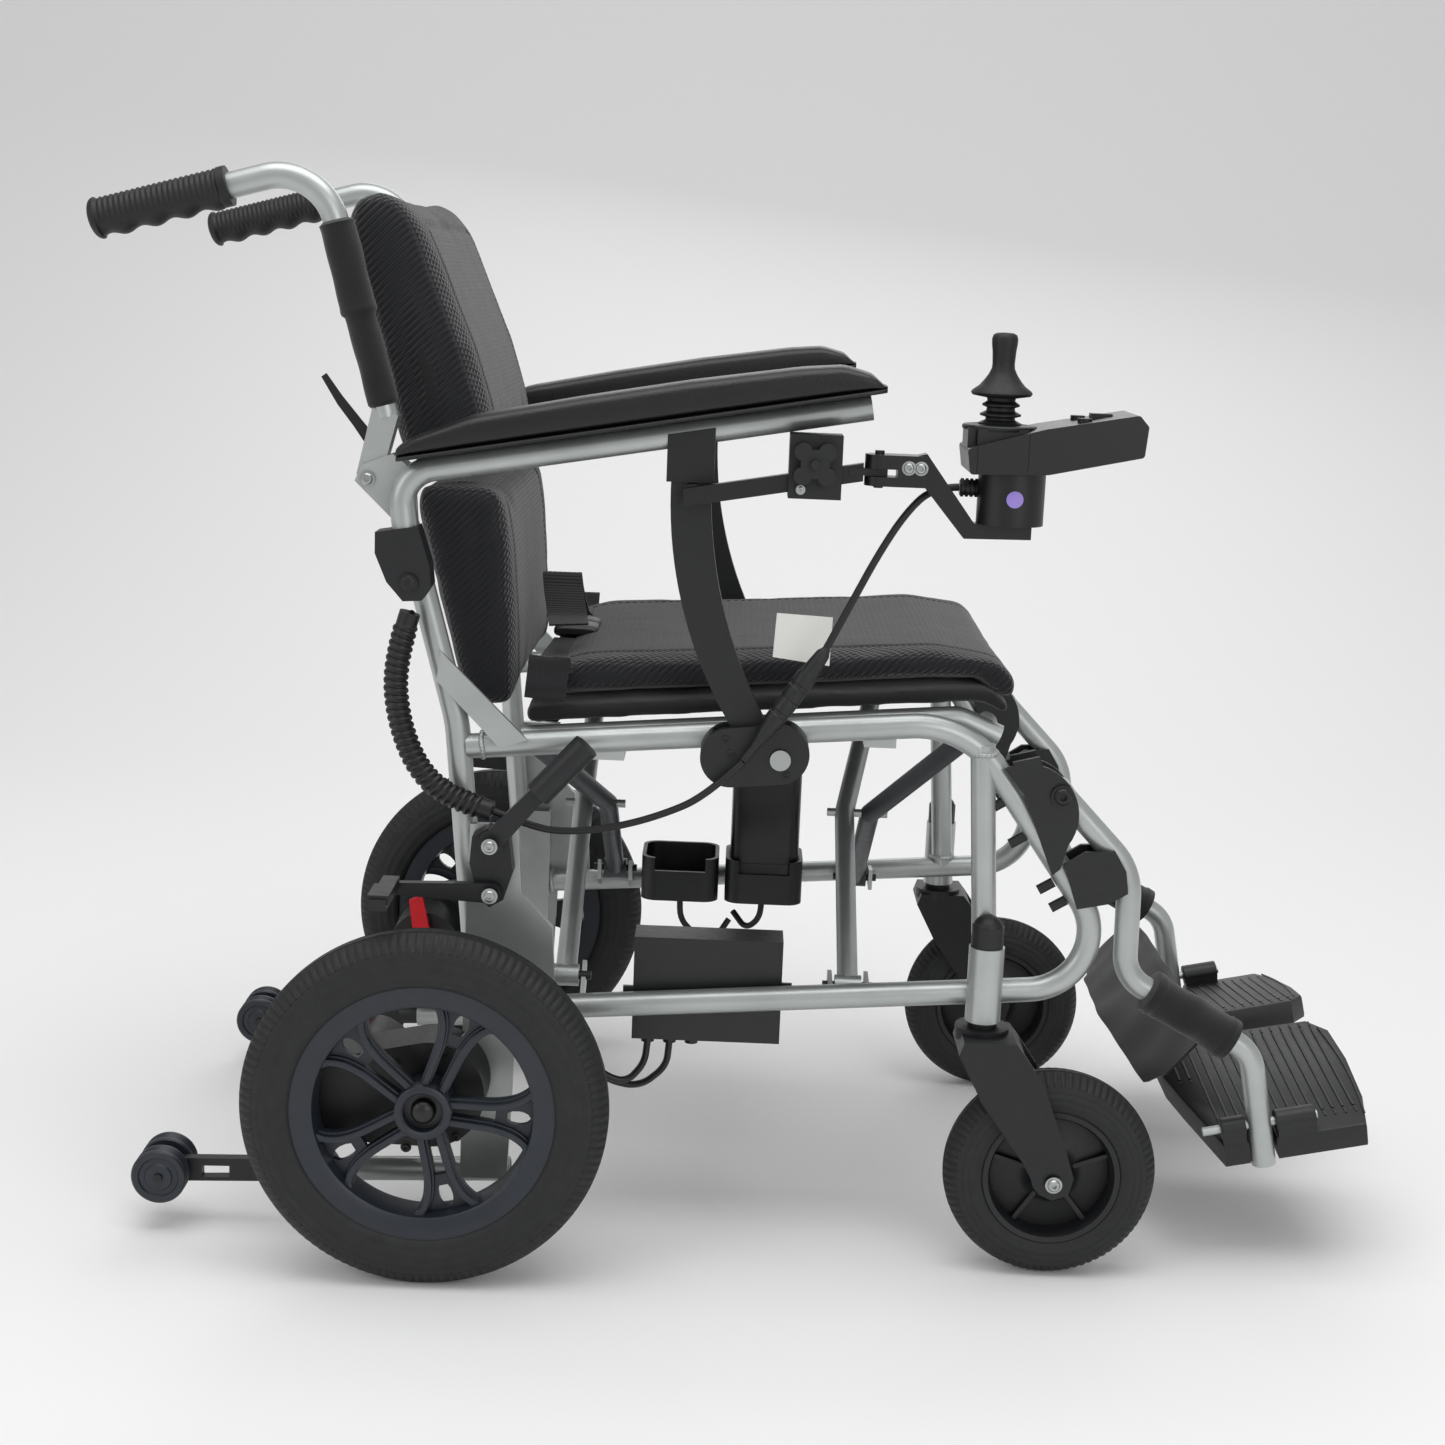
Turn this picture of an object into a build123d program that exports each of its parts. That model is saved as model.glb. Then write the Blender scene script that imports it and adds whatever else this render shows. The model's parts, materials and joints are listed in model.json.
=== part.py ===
from build123d import *
import math
import os

# Folding power wheelchair, millimetres, +X forward, +Y to the user's left, +Z up.
# Every place is given in a design frame with x = 0 at the rear axle and z = 0 on the floor.
# "Out" is the distance from the middle plane, so the right side lies at y = -out.
# Each side part is made for the right side and mirrored for the left one.
# The last step moves the whole chair so that its origin is the middle of its footprint.

# ---- driving dimensions ----
SIDE_OUT = 213.0            # plane of each welded side frame
ARM_OUT = 240.0             # plane of each armrest tube, outside the back post
STICK_OUT = 262.0           # plane of the joystick bar
TUBE_R = 11.0               # main frame tube
WALL = 2.0
GAP = 0.3                   # air between parts that pass each other
FIT = 0.05                  # radial clearance of pins in their bores

WHEEL_R = 159.0             # 12.5 inch drive tyre
WHEEL_W = 50.0
WHEEL_OUT = 309.0
RIM_R = 118.0
AXLE = (0.0, WHEEL_R)
AXLE_R = 8.0

CASTER_R = 95.0             # 190 mm front caster
CASTER_W = 45.0
CASTER_OUT = 237.0
CASTER_AXLE = (552.0, CASTER_R)
STEM = (485.0, 228.7)       # x and out of the swivel stem
STEM_R = 6.0
HOUSING_R = 15.75
HOUSING_Z = (231.0, 299.0)

SEAT_RAIL_START = (20.0, 458.0)
SEAT_CORNER = (457.0, 496.0)
TOE_CORNER = (621.7, 263.2)
LOW_RAIL_END = (42.0, 217.0)
SEAT_BEND = 85.0
TOE_BEND = 54.0
POST_TOP = (-43.0, 680.0)
POST_BEND = (11.0, 480.0)
POST_FOOT = (49.0, 60.0)

BACK_PIVOT = (-67.0, 690.0)
HANDLE_FOOT = (-53.0, 742.0)
HANDLE_CORNER = (-110.0, 950.0)
HANDLE_END = (-300.0, 897.0)
HANDLE_BEND = 48.0
GRIP_R = 17.0
GRIP_LENGTH = 122.0

ARM_PIVOT = (-27.0, 606.0)
ARM_CORNER = (-38.0, 697.0)
ARM_TIP = (358.0, 768.0)
PAD_OUT = (231.5, 281.5)

LEG_PIVOT = (542.0, 438.0)
LEG_KNEE = (609.0, 369.0)
LEG_SHIN = (611.0, 272.0)
LEG_ANKLE = (730.0, 205.0)
LEG_END = (751.0, 100.0)
PLATE_PIVOT = (744.0, 138.0)
PLATE_PITCH = 12.0
PLATE_TILT = 10.0
PLATE_DROP = 12.0           # tread below the hinge pin
PLATE_THICK = 24.0

BRACE_OUT = 188.0           # lower pivots and seat tubes of the folding brace
BRACE_LOW_Z = 244.0
BRACE_MID_Z = 360.0
BRACE_A_X = (366.0, 110.0)
BRACE_B_X = (391.0, 134.0)

GEARBOX_OUT = (230.0, 280.0)
MOTOR = (-67.0, 153.0)
MOTOR_R = 38.0
MOTOR_IN = 165.0

BRAKE_PIVOT = (47.0, 382.0)
SHOE_PIVOT = (48.0, 338.0)
ANTITIP = (-250.0, 53.0)
KNOB = (311.0, 722.0)
SWING_X = 365.0
STICK = (463.0, 745.0)
WELL = 21.0                 # half width of the square well round the stick's gimbal

os.makedirs("parts", exist_ok=True)
parts = {}


# ---- helpers ----
def at(point, out):
    """A side-view point (x, z) placed at a distance out on the right side."""
    return (point[0], -out, point[1])


def rod(a, b, radius):
    """A straight round bar from a to b."""
    start = Vector(*a)
    along = Vector(*b) - start
    return Solid.make_cylinder(radius, along.length, Plane(origin=start, z_dir=along))


def ring(a, b, radius, bore):
    return rod(a, b, radius) - rod(a, b, bore)


def pin(point, out0, out1, radius):
    """A round bar across the chair at a side-view point."""
    return rod(at(point, out0), at(point, out1), radius)


def cone(a, b, radius_a, radius_b):
    start = Vector(*a)
    along = Vector(*b) - start
    return Solid.make_cone(radius_a, radius_b, along.length, Plane(origin=start, z_dir=along))


def bent(points, radii, radius):
    """A round bar along straight runs joined by arcs, one radius for each corner."""
    if len(points) == 2:
        return rod(points[0], points[1], radius)
    path = FilletPolyline(*points, radius=radii)
    return sweep(Plane(origin=path @ 0, z_dir=path % 0) * Circle(radius), path=path)


def side_bent(points, radii, out, radius):
    return bent([at(p, out) for p in points], radii, radius)


def slab(outline, out0, out1):
    """A flat plate with a side-view outline, between two distances out."""
    face = make_face(Polyline(*[at(p, out0) for p in outline], close=True))
    return extrude(face, amount=out1 - out0, dir=(0, -1, 0))


def cheek(outline, x0, x1):
    """A flat plate with an (out, z) outline, between two x positions."""
    face = make_face(Polyline(*[(x0, -p[0], p[1]) for p in outline], close=True))
    return extrude(face, amount=x1 - x0, dir=(1, 0, 0))


def block(x0, x1, out0, out1, z0, z1):
    """An upright box given by its limits."""
    size = (x1 - x0, out1 - out0, z1 - z0)
    middle = ((x0 + x1) / 2, -(out0 + out1) / 2, (z0 + z1) / 2)
    return Pos(*middle) * Box(*size)


def rounded(shape, axis, radius):
    return fillet(shape.edges().filter_by(axis), radius)


def lens(p, q, radius_p, radius_q, out0, out1):
    """The flat outline round two discs, as a belt would wrap them."""
    disc_p = Pos(p[0], p[1]) * Circle(radius_p)
    disc_q = Pos(q[0], q[1]) * Circle(radius_q)
    outline = make_hull((disc_p + disc_q).edges())
    plane = Plane(origin=(0, -out0, 0), x_dir=(1, 0, 0), z_dir=(0, -1, 0))
    return extrude(plane * outline, amount=out1 - out0)


def solids(*shapes):
    """A group of separate solids in one node."""
    every = []
    for shape in shapes:
        every.extend(shape.solids())
    return every


def both(name, shape_list):
    """The right part and its mirror image on the left."""
    group = solids(*shape_list)
    parts["right_" + name] = group
    parts["left_" + name] = [s.mirror(Plane.XZ) for s in group]


def seat_rail_z(x):
    slope = (SEAT_CORNER[1] - SEAT_RAIL_START[1]) / (SEAT_CORNER[0] - SEAT_RAIL_START[0])
    return SEAT_RAIL_START[1] + slope * (x - SEAT_RAIL_START[0])


def low_rail_z(x):
    slope = (TOE_CORNER[1] - LOW_RAIL_END[1]) / (TOE_CORNER[0] - LOW_RAIL_END[0])
    return LOW_RAIL_END[1] + slope * (x - LOW_RAIL_END[0])


def arm_z(x):
    slope = (ARM_TIP[1] - ARM_CORNER[1]) / (ARM_TIP[0] - ARM_CORNER[0])
    return ARM_TIP[1] + slope * (x - ARM_TIP[0])


# ---- welded side frame ----
def side_frame(brace_x):
    runs = [
        ([SEAT_RAIL_START, SEAT_CORNER, TOE_CORNER, LOW_RAIL_END], [SEAT_BEND, TOE_BEND]),
        ([POST_TOP, POST_BEND, POST_FOOT], [150.0]),
        ([(-80.0, 59.5), (66.0, 65.0)], []),
        ([(472.0, 478.0), (487.0, 251.0)], []),
    ]
    frame = None
    core = None
    for points, radii in runs:
        tube = side_bent(points, radii, SIDE_OUT, TUBE_R)
        bore = side_bent(points, radii, SIDE_OUT, TUBE_R - WALL)
        frame = tube if frame is None else frame + tube
        core = bore if core is None else core + bore
    frame = frame - core
    head = rod((STEM[0], -STEM[1], HOUSING_Z[0]), (STEM[0], -STEM[1], HOUSING_Z[1]), HOUSING_R)
    frame = frame + head
    frame = frame - rod((STEM[0], -STEM[1], 200), (STEM[0], -STEM[1], 320), HOUSING_R - WALL)
    frame = frame + slab([(-3, 544), (-6, 518), (50, 460), (74, 468)], 222, 227)
    frame = frame + slab(
        [(22, 62), (64, 62), (70, 215), (104, 230), (100, 300), (72, 330), (68, 392), (26, 392),
         (22, 250)], 222, 230)
    column = block(24, 62, 197, 222.5, 72, 300) - block(26, 60, 199, 220.5, 60, 310)
    frame = frame + column
    for out0, out1 in ((199.0, 202.4), (223.6, 227.0)):
        clevis = slab([(-78, 688), (-72, 702), (-46, 712), (-30, 700), (-27, 655), (-44, 655)],
                      out0, out1)
        frame = frame + (clevis - pin(BACK_PIVOT, 190, 235, 4.0 + FIT))
    for x in brace_x:
        z = low_rail_z(x)
        for x0 in (x - 18.5, x + 14.5):
            ear = [(SIDE_OUT - 3, z - 8), (BRACE_OUT - 11, BRACE_LOW_Z - 11),
                   (BRACE_OUT - 11, BRACE_LOW_Z + 11), (SIDE_OUT - 3, z + 8)]
            frame = frame + cheek(ear, x0, x0 + 4)
        hole = rod((x - 30, -BRACE_OUT, BRACE_LOW_Z), (x + 30, -BRACE_OUT, BRACE_LOW_Z), 4.0)
        frame = frame - hole
    for x in (144.0, 382.0):
        z = seat_rail_z(x - 14)
        frame = frame + block(x - 14, x + 14, 180, 214, z - 17, z - TUBE_R - GAP)
        frame = frame + block(x - 14, x + 14, 206, 214, z - 17, z - 8)
    return frame


parts["right_side_frame"] = solids(side_frame(BRACE_A_X))
parts["left_side_frame"] = [s.mirror(Plane.XZ) for s in solids(side_frame(BRACE_B_X))]


# ---- plastic and steel fittings that stay on each side frame ----
PILL = (272.0, 468.0)
PILL_HALF = 21.0
PILL_R = 26.0


def strut_housing():
    """Pill-shaped catch on the seat rail, open at the top for the armrest strut."""
    a = (PILL[0] - PILL_HALF, PILL[1] - 2)
    b = (PILL[0] + PILL_HALF, PILL[1] + 2)
    shell = lens(a, b, PILL_R, PILL_R, 224.6, 256.0)
    slot = slab([(236, 476), (252, 462), (286, 462), (320, 530), (236, 530)], 232.0, 248.0)
    push_hole = pin((294.0, 466.0), 246.0, 260.0, 9.3)
    return shell - slot - push_hole


def legrest_brackets():
    """Half-round upper bracket and the open lower cradle, each of two cheeks."""
    pieces = []
    centre = (512.0, 419.0)
    for out0, out1 in ((197.2, 201.6), (224.4, 228.8)):
        disc = pin(centre, out0, out1, 46.0)
        behind = slab([(420, 545), (513, 419 + 13), (545, 368), (560, 340), (420, 340)], out0, out1)
        ahead = slab([(497, 466), (520, 472), (552, 400), (545, 372), (538, 366)], out0, out1)
        cheek_plate = (disc - behind) + ahead
        pieces.append(cheek_plate - pin(LEG_PIVOT, 190, 240, 4.0))
        cradle = slab([(548, 376), (566, 388), (592, 390), (603, 372), (606, 352), (590, 342),
                       (562, 336)], out0, out1)
        pieces.append(cradle)
    return pieces


def caster_head():
    x, out = STEM
    pieces = []
    for z0 in (HOUSING_Z[0] + 2, HOUSING_Z[1] - 11):
        pieces.append(ring((x, -out, z0), (x, -out, z0 + 9), HOUSING_R - WALL, STEM_R + FIT))
    cap = rod((x, -out, 299), (x, -out, 318), HOUSING_R - 1.5)
    dome = Pos(x, -out, 314) * Sphere(HOUSING_R - 1.6)
    dome = dome - Pos(x, -out, 294) * Box(60, 60, 40)
    hollow = rod((x, -out, 290), (x, -out, 308), STEM_R + 2)
    pieces.append((cap + dome) - hollow)
    return pieces


def brake_body():
    outline = [(30, 386), (44, 394), (62, 386), (66, 355), (58, 330), (46, 323), (36, 332), (28, 362)]
    body = slab(outline, 230, 251)
    pivots = [pin(BRAKE_PIVOT, 251, 268, 4.0), pin(SHOE_PIVOT, 251, 268, 4.0)]
    return [body] + pivots


def bolts():
    pieces = []
    for point in ((502, 433), (523, 403), (551, 362), (563, 346)):
        pieces.append(rod(at((point[0] - 22, point[1] - 14), SIDE_OUT),
                          at((point[0] - 9, point[1] - 6), SIDE_OUT), 4.5))
    pieces.append(pin(LEG_PIVOT, 194.0, 231.0, 4.0 - FIT))
    pieces.append(pin(BACK_PIVOT, 196.5, 228.5, 4.0))
    pieces.append(pin(ARM_PIVOT, 224.0, 256.0, 5.0))
    return pieces


def antitip_arm():
    arm = slab([(-96, 47.5), (-250, 42), (-262, 53), (-250, 64), (-96, 68.5)], 208, 218)
    slot = slab([(-190, 48), (-215, 47), (-215, 58), (-190, 58.6)], 200, 226)
    socket = side_bent([(-100, 58.7), (-60, 60.3)], [], SIDE_OUT, TUBE_R - WALL)
    axle = pin(ANTITIP, 186, 240, 4.0)
    return [(arm - slot) + socket + axle]


def brace_bolts(brace_x):
    pieces = []
    for x in brace_x:
        pieces.append(rod((x - 23, -BRACE_OUT, BRACE_LOW_Z), (x + 23, -BRACE_OUT, BRACE_LOW_Z), 4.0))
    return pieces


DOCK_X = ((164.0, 245.0), (252.0, 333.0))
DOCK_OUT = (128.0, 202.0)
DOCK_Z = (226.0, 272.0)


def docks():
    """Two battery docks along the left lower rail, each a cup with two side prongs."""
    pieces = []
    for x0, x1 in DOCK_X:
        cup = block(x0, x1, DOCK_OUT[0], DOCK_OUT[1], DOCK_Z[0], DOCK_Z[1])
        cup = rounded(cup, Axis.Z, 16)
        inner = block(x0 + 4, x1 - 4, DOCK_OUT[0] + 4, DOCK_OUT[1] - 4, DOCK_Z[0] + 6, 300)
        cup = cup - rounded(inner, Axis.Z, 13)
        cup = cup - block(x0 + 14, x1 - 14, DOCK_OUT[0] - 5, DOCK_OUT[1] - 20, 258, 300)
        pieces.append(cup)
        for x in (x0 + 22, x1 - 22):
            pieces.append(rod((x, -175, DOCK_Z[0] - 9), (x, -175, DOCK_Z[0]), 5.0))
    return pieces


LEAD_R = 3.2
DOCK_LEAD_A = [(205, -150, 226), (206, -150, 200), (224, -158, 180), (246, -166, 178),
               (258, -172, 196)]
DOCK_LEAD_B = [(292, -150, 226), (290, -150, 204), (276, -158, 190), (262, -174, 204)]


def fair_radii(points):
    """The largest arcs that the runs allow: 0.45 of the shorter run over tan(half the turn)."""
    radii = []
    for before, here, after in zip(points, points[1:], points[2:]):
        run_in = Vector(*here) - Vector(*before)
        run_out = Vector(*after) - Vector(*here)
        turn = math.radians(run_in.get_angle(run_out))
        radii.append(0.45 * min(run_in.length, run_out.length) / math.tan(turn / 2))
    return radii


def cord(name, points, radius):
    radii = fair_radii(points)
    print(name, "radii", [round(r, 1) for r in radii])
    body = bent(points, radii, radius)
    path = FilletPolyline(*points, radius=radii)
    section = math.pi * radius ** 2
    print(name, "length", round(path.length, 1), "volume ratio", round(body.volume / (section * path.length), 4))
    return body


def fittings(brace_x):
    return [strut_housing(), *legrest_brackets(), *caster_head(), *brake_body(), *bolts(),
            *antitip_arm(), *brace_bolts(brace_x)]


parts["right_frame_fittings"] = solids(*fittings(BRACE_A_X))
left_only = docks()
left_only.append(cord("dock_lead_a", DOCK_LEAD_A, LEAD_R))
left_only.append(cord("dock_lead_b", DOCK_LEAD_B, LEAD_R))
left_group = solids(*fittings(BRACE_B_X), *left_only)
parts["left_frame_fittings"] = [s.mirror(Plane.XZ) for s in left_group]


# ---- drive: motor, gearbox, wheel ----
def drive_motor():
    gearbox = lens(AXLE, MOTOR, 48, 40, *GEARBOX_OUT)
    gearbox = gearbox - lens(AXLE, MOTOR, 43, 35, GEARBOX_OUT[0] + 5, GEARBOX_OUT[1] - 5)
    gearbox = gearbox - pin(AXLE, 255, 300, AXLE_R + FIT)
    can = pin(MOTOR, MOTOR_IN, GEARBOX_OUT[0], MOTOR_R) - pin(MOTOR, MOTOR_IN + 4, 240, MOTOR_R - 4)
    gearbox = gearbox - pin(MOTOR, 220, 245, 9)
    rotor = pin(MOTOR, MOTOR_IN + 10, 226, 24) + pin(MOTOR, MOTOR_IN + 4, 270, 6)
    pinion = ring(at(MOTOR, 262.2), at(MOTOR, 272), 25, 6)
    stub = pin(MOTOR, 152, MOTOR_IN, 4.0)
    return [gearbox, can + stub, rotor, pinion]


both("drive_motor", drive_motor())


def spoke(radius_in, radius_out, width, out0, out1, centre, angle, lean):
    """One straight spoke, leaning from its radial line."""
    a = math.radians(angle)
    b = math.radians(angle + lean)
    p = (centre[0] + radius_in * math.cos(a), centre[1] + radius_in * math.sin(a))
    q = (centre[0] + radius_out * math.cos(b), centre[1] + radius_out * math.sin(b))
    side = (-(q[1] - p[1]), q[0] - p[0])
    scale = width / 2 / math.hypot(*side)
    side = (side[0] * scale, side[1] * scale)
    return slab([(p[0] + side[0], p[1] + side[1]), (q[0] + side[0], q[1] + side[1]),
                 (q[0] - side[0], q[1] - side[1]), (p[0] - side[0], p[1] - side[1])], out0, out1)


def drive_wheel():
    rim = pin(AXLE, WHEEL_OUT - 19, WHEEL_OUT + 19, RIM_R) - pin(AXLE, 200, 400, RIM_R - 12)
    hub = pin(AXLE, 284, WHEEL_OUT + 22, 21)
    wheel = rim + hub
    for k in range(5):
        for lean in (-14, 14):
            angle = 72 * k + 68 - lean * 0.55
            wheel = wheel + spoke(16, RIM_R - 8, 10, WHEEL_OUT - 6, WHEEL_OUT + 10, AXLE, angle, lean)
    axle = pin(AXLE, 262, 290, AXLE_R)
    gear = pin(AXLE, 262.2, 272, 42)
    return [wheel + axle + gear + pin(AXLE, 330, 336, 10)]


def tyre(centre, out, radius, inner, width):
    """A closed ring of tyre with rounded shoulders."""
    half = width / 2
    shoulder = min(half, radius - inner) * 0.55
    section = Polyline((inner, -half + 3), (inner, half - 3), (inner + 6, half),
                       (radius - shoulder, half), (radius, half - shoulder),
                       (radius, -half + shoulder), (radius - shoulder, -half), (inner + 6, -half),
                       close=True)
    body = revolve(make_face(section), axis=Axis.Y)
    return Pos(centre[0], -out, centre[1]) * body


both("drive_wheel", drive_wheel())
both("drive_tyre", [tyre(AXLE, WHEEL_OUT, WHEEL_R, RIM_R + 0.0, WHEEL_W)])


def freewheel_lever():
    disc = pin(MOTOR, 154.0, MOTOR_IN - GAP, 22)
    x, z = MOTOR
    blade = slab([(x - 10, z + 10), (x + 8, z + 14), (x - 2, z + 60), (x - 16, z + 54)], 155, 161)
    return [(disc + blade) - pin(MOTOR, 140, 170, 4.0 + FIT)]


both("freewheel_lever", freewheel_lever())


# ---- front casters ----
def caster_fork():
    x, out = STEM
    outline = [(466, 222), (462, 210), (484, 168), (524, 113), (540, 84), (552, 79), (566, 84),
               (570, 100), (562, 124), (538, 186), (520, 212), (512, 222)]
    fork = slab(outline, 206.5, 211.5) + slab(outline, 262.5, 268.5)
    crown = [(466, 222), (462, 210), (468, 200), (514, 200), (520, 212), (512, 222)]
    fork = fork + slab(crown, 206.5, 268.5)
    fork = fork + rod((x, -out, 215), (x, -out, 226), 24)
    fork = fork + rod((x, -out, 226), (x, -out, 230.4), 13)
    fork = fork + rod((x, -out, 220), (x, -out, 300), STEM_R)
    axle = pin(CASTER_AXLE, 204, 272, 5.0)
    return [fork + axle]


def caster_wheel():
    bore = pin(CASTER_AXLE, 190, 290, 5.0 + FIT)
    rim = pin(CASTER_AXLE, CASTER_OUT - 17, CASTER_OUT + 17, 62)
    rim = rim - pin(CASTER_AXLE, 190, 290, 54)
    wheel = rim + pin(CASTER_AXLE, 213.5, 260.5, 15)
    wheel = wheel + pin(CASTER_AXLE, CASTER_OUT - 3, CASTER_OUT + 3, 56)
    for k in range(5):
        wheel = wheel + spoke(10, 58, 8, CASTER_OUT - 12, CASTER_OUT + 12, CASTER_AXLE, 72 * k + 20, 0)
    return [wheel - bore]


both("caster_fork", caster_fork())
both("caster_wheel", caster_wheel())
both("caster_tyre", [tyre(CASTER_AXLE, CASTER_OUT, CASTER_R, 62.0, CASTER_W)])


# ---- anti-tip wheels ----
def antitip_wheels():
    pieces = []
    for out0, out1 in ((188.0, 207.0), (219.0, 238.0)):
        pieces.append(ring(at(ANTITIP, out0), at(ANTITIP, out1), 25, 4.0 + FIT))
    return pieces


both("antitip_wheels", antitip_wheels())


# ---- back posts, handles, latches ----
def push_handle():
    points = [HANDLE_FOOT, HANDLE_CORNER, HANDLE_END]
    tube = side_bent(points, [HANDLE_BEND], SIDE_OUT, TUBE_R)
    tube = tube - side_bent(points, [HANDLE_BEND], SIDE_OUT, TUBE_R - WALL)
    lug = slab([(-77, 694), (-74, 683), (-66, 680), (-58, 684), (-42, 744), (-64, 750)], 203, 223)
    lug = lug - pin(BACK_PIVOT, 190, 240, 4.0 + FIT)
    latch_pin = pin((-62, 716), 192, 210, 3.0)
    return [tube + lug + latch_pin]


def handle_grip():
    start = Vector(*at(HANDLE_CORNER, SIDE_OUT))
    end = Vector(*at(HANDLE_END, SIDE_OUT))
    along = (end - start).normalized()
    cap = end + along * 4
    first = cap - along * GRIP_LENGTH
    grip = rod(tuple(first), tuple(cap), GRIP_R)
    return [grip - rod(tuple(start), tuple(end), TUBE_R)]


def back_latch():
    outline = [(-55, 712), (-60, 708), (-70, 712), (-84, 732), (-98, 750), (-112, 773), (-108, 776),
               (-94, 757), (-78, 738), (-66, 724), (-57, 722)]
    return [slab(outline, 194.5, 198.2) - pin((-62, 716), 180, 210, 3.0 + FIT)]


both("push_handle", push_handle())
both("handle_grip", handle_grip())
both("back_latch", back_latch())


# ---- armrests ----
STRUT_OUT = (233.0, 247.0)


def armrest_frame():
    points = [(-28.0, 612.0), ARM_CORNER, ARM_TIP]
    tube = side_bent(points, [30.0], ARM_OUT, TUBE_R)
    tube = tube - side_bent(points, [30.0], ARM_OUT, TUBE_R - WALL)
    knuckle = slab([(-56, 648), (-20, 654), (-10, 622), (-8, 604), (-16, 591), (-32, 590),
                    (-46, 606), (-56, 630)], 227.4, 254.0)
    knuckle = knuckle - pin(ARM_PIVOT, 220, 260, 5.0 + FIT)
    rear = ThreePointArc((192, -STRUT_OUT[0], 704), (204, -STRUT_OUT[0], 598), (254, -STRUT_OUT[0], 486))
    foot = Line((254, -STRUT_OUT[0], 486), (284, -STRUT_OUT[0], 490))
    front = ThreePointArc((284, -STRUT_OUT[0], 490), (239, -STRUT_OUT[0], 598), (226, -STRUT_OUT[0], 710))
    top = Line((226, -STRUT_OUT[0], 710), (192, -STRUT_OUT[0], 704))
    strut = extrude(make_face(Wire([rear, foot, front, top])),
                    amount=STRUT_OUT[1] - STRUT_OUT[0], dir=(0, -1, 0))
    bracket = slab([(188, 700), (228, 700), (228, arm_z(228) + 2), (188, arm_z(188) + 2)], 228.8, 251.2)
    bracket = bracket - side_bent([ARM_CORNER, ARM_TIP], [], ARM_OUT, TUBE_R)
    bracket = bracket - slab([(180, 690), (240, 690), (240, 712), (180, 702)], *STRUT_OUT)
    return [tube, knuckle - tube, strut, bracket]


def joystick_clamp():
    """Square clamp under the right armrest tube that holds the joystick bar."""
    clamp = block(290, 334, 240, 272, 692, 745)
    clamp = clamp - side_bent([ARM_CORNER, ARM_TIP], [], ARM_OUT, TUBE_R)
    clamp = clamp - slab(bar_outline(GAP), 257 - GAP, 267 + GAP)
    screw = pin(KNOB, 272, 292, 4.0)
    return [clamp, screw]


def bar_outline(grow):
    """Side view of the joystick bar, parallel to the armrest tube."""
    low = (203.0, 681.0 - grow)
    length = 149.0
    slope = math.tan(math.radians(10.3))
    depth = 15.0 + 2 * grow
    far = (low[0] + length, low[1] + length * slope)
    if grow:
        low = (low[0] - 200, low[1] - 200 * slope)
        far = (far[0] + 200, far[1] + 200 * slope)
    return [low, far, (far[0], far[1] + depth), (low[0], low[1] + depth)]


right_arm = armrest_frame()
both("armrest_frame", right_arm)
parts["right_armrest_frame"] = solids(*right_arm, *joystick_clamp())


def armrest_pad():
    under = TUBE_R / math.cos(math.radians(10.3)) + 0.1
    outline = [(-36, arm_z(-36) + under), (366, arm_z(366) + under), (368, 787), (356, 798),
               (332, 804), (298, 801), (208, 787), (117, 770), (26, 751), (-36, 726)]
    return [slab(outline, *PAD_OUT)]


both("armrest_pad", armrest_pad())
both("armrest_button", [pin((294.0, 466.0), 249.0, 259.5, 9.0)])


# ---- joystick ----
def swing_link():
    """The bar's flat tongue and the upright pin that the pod swings on."""
    bar = slab(bar_outline(0), 257, 267)
    tongue = block(340, 372, 256, 268, 713, 719)
    post = rod((SWING_X, -STICK_OUT, 703), (SWING_X, -STICK_OUT, 734), 4.0)
    return [bar + tongue + post]


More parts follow.
